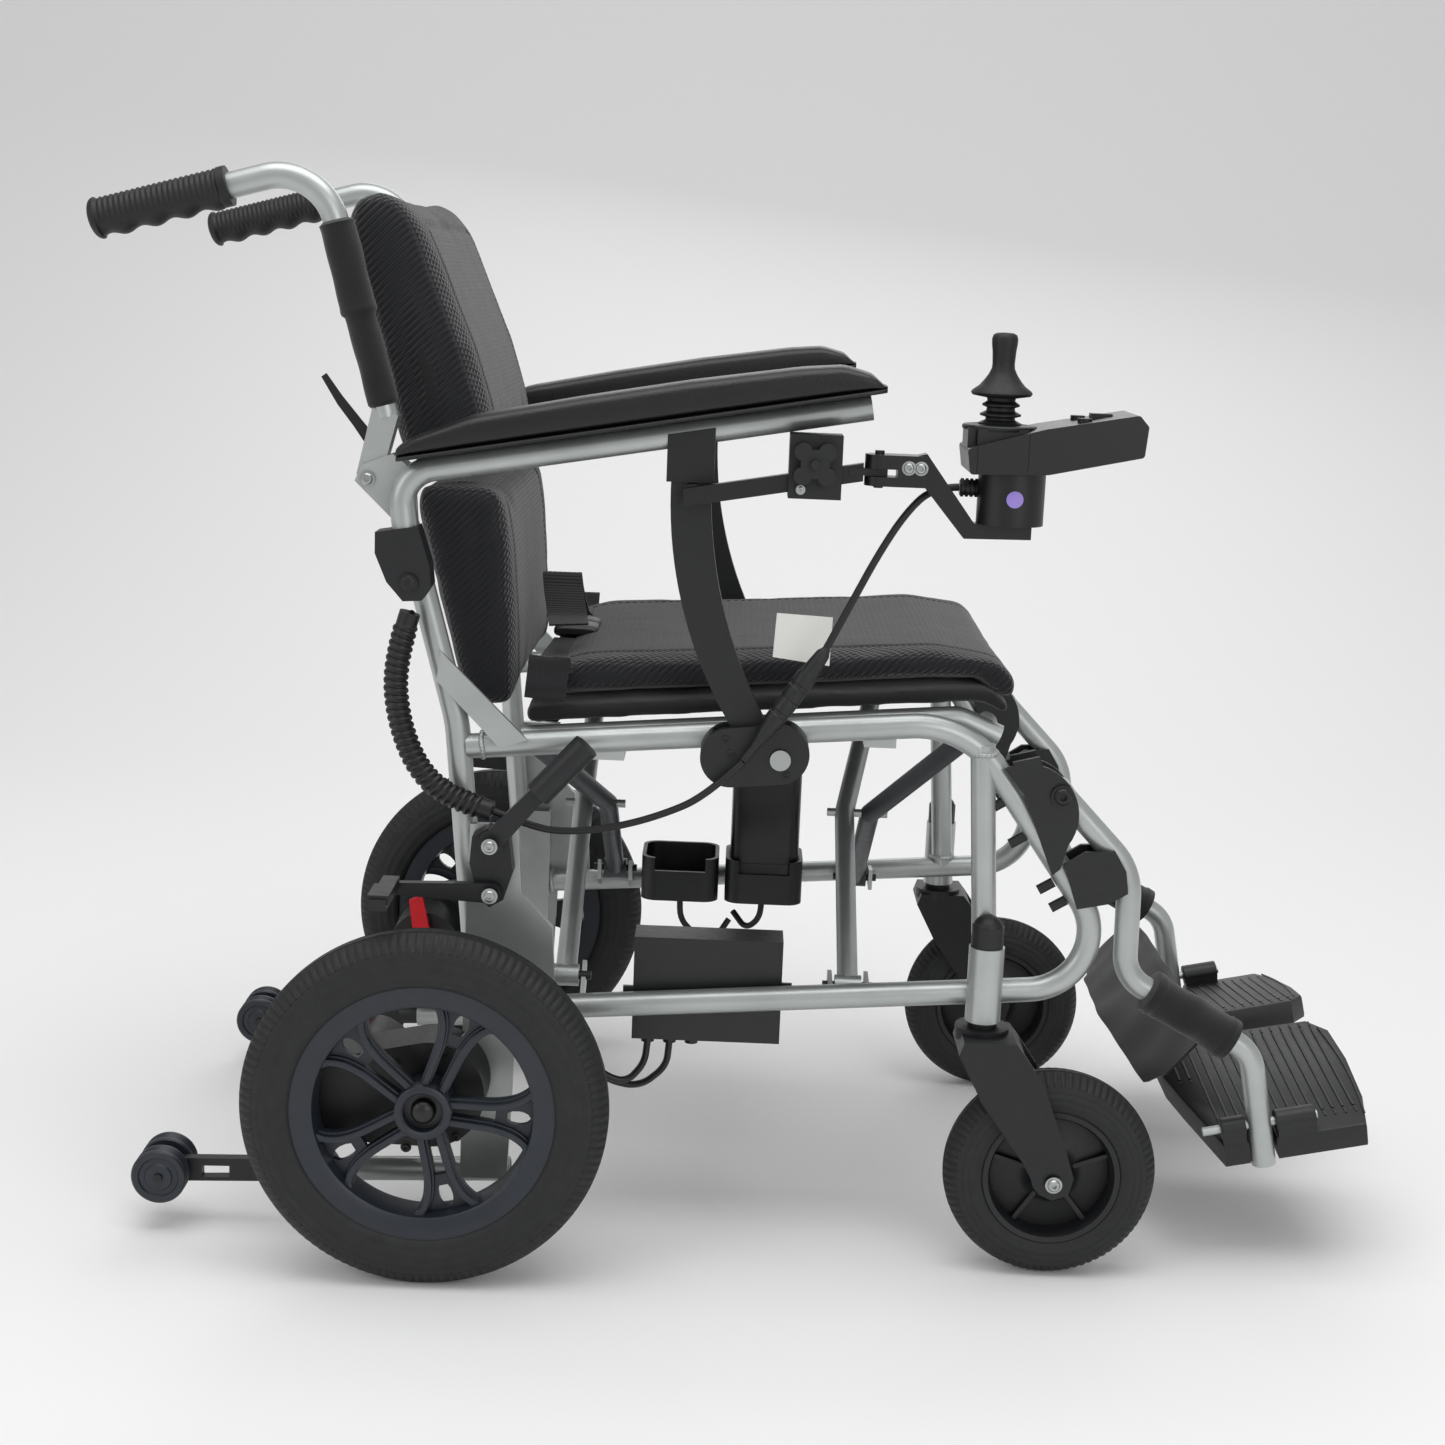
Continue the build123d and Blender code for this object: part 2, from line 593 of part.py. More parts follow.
def joystick_housing():
    arms = block(380, 404, 250, 274, 708, 728)
    for z0, z1 in ((719 + GAP, 731), (705, 713 - GAP)):
        arms = arms + rod((SWING_X, -STICK_OUT, z0), (SWING_X, -STICK_OUT, z1), 12)
        arms = arms + block(SWING_X, 404, 250, 274, z0, z1)
    arms = arms - rod((SWING_X, -STICK_OUT, 690), (SWING_X, -STICK_OUT, 740), 4.0 + FIT)
    arms = arms + slab([(396, 731), (404, 733), (446, 677), (494, 677), (494, 665), (438, 664),
                        (394, 716)], 254, 270)
    drum = rod((476, -STICK_OUT, 677), (476, -STICK_OUT, 724), 28)
    gland = rod((434, -250, 705), (450, -250, 705), 6.5)
    pod = slab([(434, 740), (440, 743), (497, 759), (572, 773), (580, 764), (578, 739), (501, 722),
                (437, 720)], 224, 300)
    pod = rounded(pod, Axis.Y, 3)
    for out in BUTTON_OUT:
        pod = pod - rod((BUTTON_X, -out, 754), (BUTTON_X, -out, 790), 6.2)
    pod = pod - block(536, 556, 256, 268, 757, 790) - pin(ROCKER, 254.5, 269.5, 1.5 + FIT)
    # The square well under the stick: its walls are separate mouldings with a fine split line.
    x0, x1 = STICK[0] - WELL, STICK[0] + WELL
    out0, out1 = STICK_OUT - WELL, STICK_OUT + WELL
    rear = (pod & block(400, x0, 200, 320, 700, 800)) + block(x0 - 7, x0, out0, out1, 741, 757)
    front = pod & block(x1, 600, 200, 320, 700, 800)
    near = (pod & block(x0 + GAP, x1 - GAP, out1, 320, 700, 800))
    near = near + block(x0 + GAP, x1 - GAP, out1, out1 + 7, 740, 757)
    far = (pod & block(x0 + GAP, x1 - GAP, 200, out0, 700, 800))
    far = far + block(x0 + GAP, x1 - GAP, out0 - 7, out0, 740, 757)
    tray = pod & block(x0 + GAP, x1 - GAP, out0 + GAP, out1 - GAP, 700, 727)
    return [arms + drum + tray + gland, rear, front, near, far]


def top_z(x):
    """Height of the pod's sloping top."""
    return 759 + (x - 497) * (773 - 759) / (572 - 497)


BUTTON_X = 530.0
BUTTON_OUT = (242.0, 282.0)
ROCKER = (546.0, 767.5)


def push_button(x, out):
    return [rod((x, -out, 757), (x, -out, top_z(x) + 3), 6.0)]


def speed_rocker():
    body = block(537, 555, 257, 267, ROCKER[1] - 4.5, ROCKER[1] + 4)
    return [body + pin(ROCKER, 255, 269, 1.5)]


def clamp_knob():
    knob = pin(KNOB, 273, 286, 12)
    for k in range(4):
        a = math.radians(45 + 90 * k)
        lobe = (KNOB[0] + 14 * math.cos(a), KNOB[1] + 14 * math.sin(a))
        knob = knob + pin(lobe, 274, 286, 7.5)
    return [knob - pin(KNOB, 260, 300, 4.0 + FIT)]


def gimbal():
    x, z = STICK
    ball = Pos(x, -STICK_OUT, z) * Sphere(13)
    cross = rod((x, -STICK_OUT - 18, z), (x, -STICK_OUT + 18, z), 3.0)
    return [ball + cross + rod((x - 15.5, -STICK_OUT, z), (x + 15.5, -STICK_OUT, z), 3.0)]


def stick():
    x, z = STICK
    boot = rod((x, -STICK_OUT, z + 15), (x, -STICK_OUT, z + 37), 13)
    skirt = cone((x, -STICK_OUT, z + 37), (x, -STICK_OUT, z + 46), 25, 16)
    neck = cone((x, -STICK_OUT, z + 46), (x, -STICK_OUT, z + 58), 16, 9)
    knob = cone((x, -STICK_OUT, z + 58), (x, -STICK_OUT, z + 85), 9, 10)
    yoke = rod((x, -STICK_OUT, z + 14), (x, -STICK_OUT, z + 16), 15.5)
    for x0 in (x - 15.5, x + 14.3):
        yoke = yoke + block(x0, x0 + 1.2, STICK_OUT - 5, STICK_OUT + 5, z - 5, z + 15)
    yoke = yoke - rod((x - 20, -STICK_OUT, z), (x + 20, -STICK_OUT, z), 3.0 + FIT)
    return [yoke + boot + skirt + neck + knob]


parts["joystick_bar"] = solids(*swing_link())
parts["joystick_housing"] = solids(*joystick_housing())
parts["clamp_knob"] = solids(*clamp_knob())
parts["joystick_gimbal"] = solids(*gimbal())
parts["joystick_stick"] = solids(*stick())
parts["power_button"] = solids(*push_button(BUTTON_X, BUTTON_OUT[0]))
parts["horn_button"] = solids(*push_button(BUTTON_X, BUTTON_OUT[1]))
parts["speed_rocker"] = solids(*speed_rocker())


# ---- legrests and footplates ----
def legrest_hanger():
    points = [LEG_PIVOT, LEG_KNEE, LEG_SHIN, LEG_ANKLE, LEG_END]
    radii = [60.0, 35.0, 35.0]
    tube = side_bent(points, radii, SIDE_OUT, TUBE_R)
    tube = tube - side_bent(points, radii, SIDE_OUT, TUBE_R - WALL)
    eye = pin(LEG_PIVOT, SIDE_OUT - TUBE_R, SIDE_OUT + TUBE_R, 12) - pin(LEG_PIVOT, 190, 240, 4.0 + FIT)
    tube = tube - pin(LEG_PIVOT, 190, 240, 4.0 + FIT)
    along = (math.cos(math.radians(PLATE_PITCH)), math.sin(math.radians(PLATE_PITCH)))
    ends = []
    for reach in (-52, 52):
        ends.append(at((PLATE_PIVOT[0] + reach * along[0], PLATE_PIVOT[1] + reach * along[1]), SIDE_OUT))
    return [tube + eye + rod(ends[0], ends[1], 4.0)]


def footplate():
    outline = [(-36, -9), (-12.5, -9), (-12.5, 14), (12.5, 14), (12.5, -9), (94, -9), (104, 40),
               (108, 106), (106, 160), (90, 184), (-58, 188), (-66, 178), (-64, 120), (-56, 80)]
    face = make_face(Polyline(*[(u, v, -PLATE_DROP) for u, v in outline], close=True))
    plate = extrude(face, amount=PLATE_THICK, dir=(0, 0, -1))
    for u0, u1 in ((-36, -12.5), (12.5, 50)):
        knuckle = rod((u0, 0, 0), (u1, 0, 0), 10)
        foot = Pos((u0 + u1) / 2, 0, -8) * Box(u1 - u0, 18, 16)
        plate = plate + knuckle + foot
    plate = plate - rod((-60, 0, 0), (60, 0, 0), 4.0 + FIT)
    plate = plate.rotate(Axis.X, PLATE_TILT)
    plate = plate.rotate(Axis.Y, -PLATE_PITCH)
    return [Pos(PLATE_PIVOT[0], -SIDE_OUT, PLATE_PIVOT[1]) * plate]


both("legrest_hanger", legrest_hanger())
both("footplate", footplate())


# ---- wheel brakes ----
def brake_lever():
    hub = pin(BRAKE_PIVOT, 252, 260, 11)
    arm = slab([(44, 393), (52, 374), (100, 432), (92, 444)], 252, 260)
    grip = rod(at((88, 430), 267), at((128, 474), 267), 12)
    return [(hub + arm + grip) - pin(BRAKE_PIVOT, 240, 280, 4.0 + FIT)]


def brake_shoe():
    hub = pin(SHOE_PIVOT, 252, 260, 9)
    arm = slab([(48, 329), (48, 347), (-44, 344), (-44, 334)], 252, 260)
    reach = block(-46, -32, 254, 330, 339, 349)
    pad = block(-48, -30, 290, 328, 344, 352) + block(-44, -34, 300, 320, 338, 352)
    return [(hub + arm + reach + pad) - pin(SHOE_PIVOT, 240, 280, 4.0 + FIT)]


both("brake_lever", brake_lever())
both("brake_shoe", brake_shoe())


# ---- folding cross brace: each half carries the opposite seat tube ----
SEAT_TUBE_X = (66.0, 452.0)


def seat_tube():
    start = (SEAT_TUBE_X[0], seat_rail_z(SEAT_TUBE_X[0]))
    bend = (SEAT_TUBE_X[1], seat_rail_z(SEAT_TUBE_X[1]))
    nose = (488.0, 480.0)
    points = [start, bend, nose]
    tube = side_bent(points, [30.0], BRACE_OUT, TUBE_R)
    return tube - side_bent(points, [30.0], BRACE_OUT, TUBE_R - WALL)


def brace_half(low_x, high_x):
    """Two arms from the lower pivots on the far side up to the seat tube on this side."""
    half = seat_tube()
    for x, top_x in zip(low_x, high_x):
        low = (x, BRACE_OUT, BRACE_LOW_Z)
        middle = (x, 0, BRACE_MID_Z)
        top_z_here = seat_rail_z(top_x) - 4
        top = (top_x, -BRACE_OUT, top_z_here)
        arm = rod(low, middle, 9.5) + rod(middle, top, 9.5)
        arm = arm + Pos(*middle) * Sphere(9.5)
        arm = arm + rod((x - 12, BRACE_OUT, BRACE_LOW_Z), (x + 12, BRACE_OUT, BRACE_LOW_Z), 10)
        arm = arm - rod((x - 30, BRACE_OUT, BRACE_LOW_Z), (x + 30, BRACE_OUT, BRACE_LOW_Z), 4.0 + FIT)
        arm = arm - rod((x - 30, 0, BRACE_MID_Z), (x + 40, 0, BRACE_MID_Z), 4.0 + FIT)
        half = half + arm
    half = half - side_bent([(66, seat_rail_z(66)), (452, seat_rail_z(452))], [], BRACE_OUT, TUBE_R - WALL)
    return half


brace_b = brace_half(BRACE_B_X, (478.0, 76.0))
brace_a = brace_half(BRACE_A_X, (408.0, 112.0)).mirror(Plane.XZ)
centre_bolts = []
for xa, xb in zip(BRACE_A_X, BRACE_B_X):
    centre_bolts.append(rod((xa - 17, 0, BRACE_MID_Z), (xb + 17, 0, BRACE_MID_Z), 4.0))
parts["cross_brace_a"] = solids(brace_a, *centre_bolts)
parts["cross_brace_b"] = solids(brace_b)


# ---- battery and controller ----
battery = block(DOCK_X[1][0] + 4.5, DOCK_X[1][1] - 4.5, DOCK_OUT[0] + 4.5, DOCK_OUT[1] - 4.5, 232.4, 399)
battery = rounded(battery, Axis.Z, 12)
parts["battery_pack"] = [s.mirror(Plane.XZ) for s in solids(battery)]

case = block(172, 306, 162, 200, 190, 286) - block(175, 303, 165, 197, 193, 283)
flanges = block(163, 172, 198, 202, 228, 240) + block(306, 315, 198, 202, 236, 248)
board = block(182, 296, 178, 180, 198, 278)
leads = []
for k, x in enumerate((186.0, 206.0, 226.0)):
    leads.append(rod((x, -181, 182), (x, -181, 190), 6))
CONTROLLER_LEADS = [
    [(186, -181, 182), (184, -181, 160), (168, -186, 142), (146, -188, 150), (128, -190, 176)],
    [(206, -181, 182), (204, -176, 156), (180, -174, 134), (150, -176, 140), (118, -180, 170)],
]
for k, route in enumerate(CONTROLLER_LEADS):
    leads.append(cord("controller_lead_%d" % k, route, LEAD_R))
parts["controller_box"] = solids(case + flanges, board, *leads)


# ---- upholstery ----
def across(outline, half_width):
    """A plain padded solid with a side-view outline, the same on both sides."""
    face = make_face(Polyline(*[(x, -half_width, z) for x, z in outline], close=True))
    body = extrude(face, amount=2 * half_width, dir=(0, 1, 0))
    return body


upper_pad = [(-42, 694), (-99, 905), (-92, 930), (-62, 937), (-43, 925), (-29, 905), (-8, 855),
             (15, 799), (30, 752), (42, 694)]
lower_pad = [(-40, 689), (43, 689), (52, 635), (58, 540), (60, 482), (16, 482), (10, 492), (-14, 580)]
seat_pad = [(66, 475), (440, 508), (468, 511), (492, 498), (506, 508), (510, 526), (492, 546),
            (430, 556), (120, 536), (66, 520)]
parts["back_pad_upper"] = solids(across(upper_pad, 197))
parts["back_pad_lower"] = solids(across(lower_pad, 197))
parts["seat_cushion"] = solids(across(seat_pad, 200))
belt = across([(74, 540), (122, 543), (122, 547), (74, 545)], 196)
buckle = block(80, 118, -30, 34, 547, 560)
parts["lap_belt"] = solids(belt + buckle)


def calf_strap():
    start = Vector(LEG_SHIN[0], 0, LEG_SHIN[1])
    end = Vector(LEG_ANKLE[0], 0, LEG_ANKLE[1])
    along = (end - start).normalized()
    p = start + along * 24
    q = start + along * 116
    pieces = across([(p.X - 4, p.Z - 3), (q.X - 4, q.Z - 3), (q.X - 16, q.Z - 26), (p.X + 6, p.Z - 74),
                     (p.X - 30, p.Z - 30)], 194)
    for sign in (-1, 1):
        a = (p.X, sign * SIDE_OUT, p.Z)
        b = (q.X, sign * SIDE_OUT, q.Z)
        pieces = pieces + ring(a, b, 19.5, TUBE_R + GAP)
    return pieces


parts["calf_strap"] = solids(calf_strap())


# ---- free leads ----
JOYSTICK_LEAD = [(433.5, -250, 705), (412, -250, 704), (390, -253, 682), (368, -259, 646),
                 (347, -265, 604), (326, -268, 562)]
FRAME_LEAD = [(262, -268, 466), (232, -266, 434), (192, -250, 411), (148, -243, 396),
              (104, -243, 391), (76, -243, 397), (47, -240, 407)]
HARNESS = [(-28, -236, 578), (-41, -236, 536), (-38, -236, 486), (-20, -236, 440), (10, -236, 415),
           (46, -240, 407)]
HARNESS_R = 11.0
plug = cone((326, -268, 562), (300, -268, 522), 6, 9)
parts["joystick_lead"] = solids(cord("joystick_lead", JOYSTICK_LEAD, LEAD_R), plug)
socket = cone((299.6, -268, 521.4), (262, -268, 466), 9, 5)
parts["frame_lead"] = solids(cord("frame_lead", FRAME_LEAD, LEAD_R), socket)
parts["harness_cord"] = solids(cord("harness_cord", HARNESS, HARNESS_R))


# ---- move to the middle of the footprint and write ----
boxes = [s.bounding_box() for group in parts.values() for s in group]
low_x = min(b.min.X for b in boxes)
high_x = max(b.max.X for b in boxes)
shift = -(low_x + high_x) / 2
print("nodes", len(parts), "rear axle at x =", round(shift, 3), "length", round(high_x - low_x, 1))
for name, group in parts.items():
    moved = [Pos(shift, 0, 0) * s for s in group]
    shape = moved[0] if len(moved) == 1 else Compound(moved)
    export_step(shape, "parts/" + name + ".step")
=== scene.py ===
# %% [markdown]
# # A folding power wheelchair, dressed round its CAD frame
# The CAD model already holds every tube, joint and size, so this lesson adds what CAD leaves out:
# fabric, tread, spokes, ribs, weld beads and cords. Each new piece is placed from the frame's
# own numbers and rides on the body that carries it, so it still moves when the chair is posed.

# %% Load the fixed frame
import json
import math
import random

import bpy
import bmesh
from mathutils import Matrix, Vector

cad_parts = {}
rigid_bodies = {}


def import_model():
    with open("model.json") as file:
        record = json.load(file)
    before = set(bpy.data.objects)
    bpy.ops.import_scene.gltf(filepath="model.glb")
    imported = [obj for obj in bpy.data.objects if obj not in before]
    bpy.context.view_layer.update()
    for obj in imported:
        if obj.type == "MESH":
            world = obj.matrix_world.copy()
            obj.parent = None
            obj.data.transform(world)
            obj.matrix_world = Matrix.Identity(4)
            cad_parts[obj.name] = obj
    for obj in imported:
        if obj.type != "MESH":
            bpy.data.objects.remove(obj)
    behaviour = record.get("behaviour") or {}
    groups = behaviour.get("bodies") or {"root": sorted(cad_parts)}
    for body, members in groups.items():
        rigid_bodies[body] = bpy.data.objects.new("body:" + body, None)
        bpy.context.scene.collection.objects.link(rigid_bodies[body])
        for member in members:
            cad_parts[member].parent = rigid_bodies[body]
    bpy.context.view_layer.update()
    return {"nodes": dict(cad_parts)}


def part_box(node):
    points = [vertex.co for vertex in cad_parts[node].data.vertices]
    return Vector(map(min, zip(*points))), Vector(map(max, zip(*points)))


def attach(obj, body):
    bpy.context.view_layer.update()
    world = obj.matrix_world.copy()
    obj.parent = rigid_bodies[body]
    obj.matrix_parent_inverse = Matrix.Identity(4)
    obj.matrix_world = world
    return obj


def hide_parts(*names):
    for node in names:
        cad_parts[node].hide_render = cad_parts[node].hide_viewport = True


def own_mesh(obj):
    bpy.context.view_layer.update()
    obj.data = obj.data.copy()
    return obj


for leftover in list(bpy.data.objects):
    bpy.data.objects.remove(leftover)
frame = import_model()
nodes = frame["nodes"]

# %% [markdown]
# A chair is drawn from its side, so places are easiest to read as three workshop numbers in
# millimetres: how far ahead of the rear axle, how far out from the middle plane, and how high.
# One helper turns them into metres in the frame. The axle's own place is read from the CAD wheel.

# %% Workshop numbers to frame metres
wheel_low, wheel_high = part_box("right_drive_wheel")
AXLE_X = (wheel_low.x + wheel_high.x) / 2
MM = 0.001
RIGHT, LEFT = 1, -1
SIDES = (("right", RIGHT), ("left", LEFT))


def at(x, out, z, side=RIGHT):
    """A place x mm ahead of the rear axle, out mm from the middle plane, z mm up."""
    return Vector((AXLE_X + x * MM, -side * out * MM, z * MM))


print("rear axle at x =", round(AXLE_X, 4))

# %% [markdown]
# ## Camera and light
# The camera stands at the user's right, a little above the seat and slightly rolled. Its place
# was solved from the two drive wheels and the two side frames. Light is that of a product
# studio: one broad lamp overhead, a softer one in front and a pale floor that throws some back.

# %% Camera
camera_data = bpy.data.cameras.new("studio_camera")
camera_data.sensor_width = 36.0
camera_data.lens = 54.974
camera_data.clip_end = 60.0
camera = bpy.data.objects.new("studio_camera", camera_data)
bpy.context.scene.collection.objects.link(camera)
yaw, pitch, roll = -9.66e-4, 0.19936, 0.03993
forward = Vector((math.sin(yaw) * math.cos(pitch), math.cos(yaw) * math.cos(pitch), -math.sin(pitch)))
level = Vector((math.cos(yaw), -math.sin(yaw), 0.0))
upright = level.cross(forward)
across = level * math.cos(roll) + upright * math.sin(roll)
above = upright * math.cos(roll) - level * math.sin(roll)
stand = Matrix((across, above, -forward)).transposed().to_4x4()
stand.translation = Vector((-0.0274, -2.1056, 0.8705))
camera.matrix_world = stand
bpy.context.scene.camera = camera
print("camera at", [round(v, 3) for v in camera.location], "lens", camera_data.lens)


# %% Studio lamps, world and floor
def area_lamp(name, place, target, size, power, tint=(1.0, 1.0, 1.0)):
    data = bpy.data.lights.new(name, "AREA")
    data.shape = "RECTANGLE"
    data.size, data.size_y = size
    data.energy = power
    data.color = tint
    lamp = bpy.data.objects.new(name, data)
    lamp.location = place
    lamp.rotation_mode = "QUATERNION"
    lamp.rotation_quaternion = (Vector(target) - Vector(place)).to_track_quat("-Z", "Y")
    bpy.context.scene.collection.objects.link(lamp)
    return lamp


area_lamp("overhead", (0.0, -0.5, 3.0), (0.0, 0.0, 0.5), (3.0, 2.2), 50)
area_lamp("front_soft", (1.6, -3.2, 1.6), (0.0, 0.0, 0.5), (2.2, 1.8), 20)
area_lamp("rear_soft", (-2.6, -1.8, 1.6), (0.0, 0.0, 0.5), (1.6, 1.8), 12)
area_lamp("far_side", (0.4, 3.0, 2.2), (0.0, 0.0, 0.5), (2.6, 1.6), 18)

world = bpy.data.worlds.new("studio_air")
world.use_nodes = True
world.node_tree.nodes["Background"].inputs[0].default_value = (1.0, 1.0, 1.0, 1.0)
world.node_tree.nodes["Background"].inputs[1].default_value = 0.5
bpy.context.scene.world = world
bpy.context.scene.view_settings.view_transform = "Standard"

# %% [markdown]
# ## Finishes
# Every finish starts from what the thing is made of and how its surface was formed. Colours are
# written as sRGB hex, as a paint chart gives them, and one function turns them to linear light.
# Pattern scales come from real sizes: a texture's scale is one over the pattern's spacing.


# %% Colour and node helpers
def linear(code):
    """An sRGB hex colour such as #C0C4C4 as linear red, green, blue, alpha."""
    channels = [int(code[i:i + 2], 16) / 255 for i in (1, 3, 5)]
    return [c / 12.92 if c <= 0.04045 else ((c + 0.055) / 1.055) ** 2.4 for c in channels] + [1.0]


def add_node(tree, kind, links=None, **settings):
    """Adds one node. settings are its properties, or its inputs by name or i<number>."""
    node = tree.nodes.new(kind)
    for key, value in settings.items():
        if key in node.bl_rna.properties:
            setattr(node, key, value)
        else:
            socket = node.inputs[int(key[1:])] if key[0] == "i" and key[1:].isdigit() else node.inputs[key]
            socket.default_value = value
    for key, source in (links or {}).items():
        tree.links.new(source, node.inputs[key])
    return node


def finish_material(name, colour, roughness, metallic=0.0, ior=None, coat=0.0, sheen=0.0, specular=None):
    """A new material with a Principled shader whose fixed values are set on its sockets."""
    material = bpy.data.materials.new(name)
    material.use_nodes = True
    shader = material.node_tree.nodes["Principled BSDF"]
    shader.inputs["Base Color"].default_value = linear(colour)
    shader.inputs["Roughness"].default_value = roughness
    shader.inputs["Metallic"].default_value = metallic
    if ior:
        shader.inputs["IOR"].default_value = ior
    if specular is not None:
        shader.inputs["Specular IOR Level"].default_value = specular
    shader.inputs["Coat Weight"].default_value = coat
    shader.inputs["Coat Roughness"].default_value = 0.25
    shader.inputs["Sheen Weight"].default_value = sheen
    shader.inputs["Sheen Roughness"].default_value = 0.5
    return material, material.node_tree, shader


def vary_colour(tree, shader, dark, pale, field):
    """Colour runs from dark to pale as field goes from 0 to 1."""
    ramp = add_node(tree, "ShaderNodeValToRGB", {"Fac": field})
    ramp.color_ramp.elements[0].color = linear(dark)
    ramp.color_ramp.elements[1].color = linear(pale)
    tree.links.new(ramp.outputs["Color"], shader.inputs["Base Color"])


def vary_roughness(tree, shader, low, high, field):
    span = add_node(tree, "ShaderNodeMapRange", {"Value": field})
    span.inputs["To Min"].default_value = low
    span.inputs["To Max"].default_value = high
    tree.links.new(span.outputs["Result"], shader.inputs["Roughness"])


def relief(tree, shader, field, depth, strength=1.0):
    """Bump of a given real depth in metres."""
    bump = add_node(tree, "ShaderNodeBump", {"Height": field}, Strength=strength, Distance=depth)
    tree.links.new(bump.outputs["Normal"], shader.inputs["Normal"])
    return bump


def place(tree):
    return add_node(tree, "ShaderNodeTexCoord").outputs["Object"]


def grain(tree, size_mm, detail=2.0, rough=0.5, source=None):
    """Noise whose grains are about size_mm across."""
    return add_node(tree, "ShaderNodeTexNoise", {"Vector": source or place(tree)},
                    Scale=1000.0 / size_mm, Detail=detail, Roughness=rough).outputs["Fac"]


finishes = {}
print("helpers ready; mid grey #808080 is", round(linear("#808080")[0], 3))

# %% [markdown]
# The frame is 6061 aluminium tube under a satin silver lacquer. The lacquer holds fine metal
# flake, so it reads as metal with a soft, broad highlight. Small dirt-dull patches keep the
# long tubes from looking like chrome.

# %% Lacquered aluminium, zinc steel and powder coat
silver, tree, shader = finish_material("silver_lacquered_aluminium", "#B4B8B6", 0.36, metallic=0.75)
vary_colour(tree, shader, "#A3A8A6", "#C3C7C5", grain(tree, 60, 3))
vary_roughness(tree, shader, 0.30, 0.44, grain(tree, 22, 4))
relief(tree, shader, grain(tree, 0.9, 2), 0.00004, 0.5)
finishes["aluminium_frame"] = silver

zinc, tree, shader = finish_material("zinc_plated_steel", "#AEB2B0", 0.3, metallic=1.0)
vary_roughness(tree, shader, 0.22, 0.42, grain(tree, 3, 3))
finishes["bolt_steel"] = zinc

powder, tree, shader = finish_material("black_powder_coated_steel", "#0D0E11", 0.42, ior=1.5)
vary_colour(tree, shader, "#08090B", "#121317", grain(tree, 30, 3))
vary_roughness(tree, shader, 0.36, 0.52, grain(tree, 9, 3))
relief(tree, shader, grain(tree, 1.2, 2), 0.00006, 0.6)
finishes["black_steel"] = powder

# Painted shade: a darker, duller copy of the silver lacquer for the cross brace arms below the seat rail, where they
# lie in the seat's shadow.
shade_painted_silver, tree, shader = finish_material("silver_lacquer_painted_shade", "#3B3F43", 0.4, metallic=0.5)
vary_colour(tree, shader, "#33373B", "#474B4F", grain(tree, 40, 3))
vary_roughness(tree, shader, 0.34, 0.5, grain(tree, 8, 3))
print("metals:", [silver.name, zinc.name, powder.name, shade_painted_silver.name])

# %% [markdown]
# Most of the black parts are glass-filled nylon. The mould leaves a fine spark grain, about half
# a millimetre, and the glass makes it slightly blue-grey where light grazes it. The wheels are
# the same resin in a slate shade, and the clutch lever is plain red polypropylene.

# %% Moulded plastics
nylon, tree, shader = finish_material("black_glass_filled_nylon", "#0B0C0F", 0.48, ior=1.53)
vary_colour(tree, shader, "#07080A", "#101216", grain(tree, 18, 4))
vary_roughness(tree, shader, 0.38, 0.58, grain(tree, 5, 4))
relief(tree, shader, grain(tree, 0.8, 2), 0.00005, 0.7)
finishes["black_plastic"] = nylon

slate, tree, shader = finish_material("slate_glass_filled_nylon", "#1A2029", 0.42, ior=1.53)
vary_colour(tree, shader, "#141921", "#202731", grain(tree, 25, 3))
vary_roughness(tree, shader, 0.34, 0.5, grain(tree, 6, 3))
relief(tree, shader, grain(tree, 1.0, 2), 0.00004, 0.5)
finishes["wheel_slate"] = slate

red, tree, shader = finish_material("red_polypropylene", "#C90F1E", 0.33, ior=1.49)
vary_colour(tree, shader, "#B80A18", "#D91424", grain(tree, 12, 2))
finishes["red_plastic"] = red

abs_shell, tree, shader = finish_material("black_abs_shell", "#0A0B0D", 0.34, ior=1.53)
vary_roughness(tree, shader, 0.28, 0.44, grain(tree, 7, 4))
relief(tree, shader, grain(tree, 0.7, 2), 0.00003, 0.6)
print("plastics:", [nylon.name, slate.name, red.name, abs_shell.name])

# %% [markdown]
# Rubber is duller than plastic and slightly dusty. The tyre is filled with carbon black, so it
# is a warm charcoal; its roughness wanders where hands and floors have polished it. The grips
# and the bellows are softer rubber, a little deeper in tone.

# %% Rubbers and cable jackets
tyre_rubber, tree, shader = finish_material("carbon_black_tyre_rubber", "#141517", 0.6, ior=1.5)
vary_colour(tree, shader, "#0E0F11", "#1C1D1F", grain(tree, 14, 5))
vary_roughness(tree, shader, 0.5, 0.74, grain(tree, 10, 4))
relief(tree, shader, grain(tree, 1.5, 3), 0.00008, 0.5)
finishes["tyre_rubber"] = tyre_rubber

grip_rubber, tree, shader = finish_material("soft_grip_rubber", "#0D0D0F", 0.55, ior=1.5)
vary_roughness(tree, shader, 0.45, 0.65, grain(tree, 4, 4))
relief(tree, shader, grain(tree, 0.8, 2), 0.00005, 0.6)
finishes["grip_rubber"] = grip_rubber

jacket, tree, shader = finish_material("black_pvc_cable_jacket", "#0B0B0D", 0.42, ior=1.52)
vary_roughness(tree, shader, 0.34, 0.5, grain(tree, 5, 2))
finishes["cable_jacket"] = jacket
print("rubbers:", [tyre_rubber.name, grip_rubber.name, jacket.name])

# %% [markdown]
# The seat and back are covered with knitted spacer mesh, two faces held apart by a pile. The
# middle panels show a fine crosswise rib about every 5 mm, the borders a small diamond cell
# about every 6 mm. Fibre gives a pale rim when seen edge-on, which sheen reproduces.


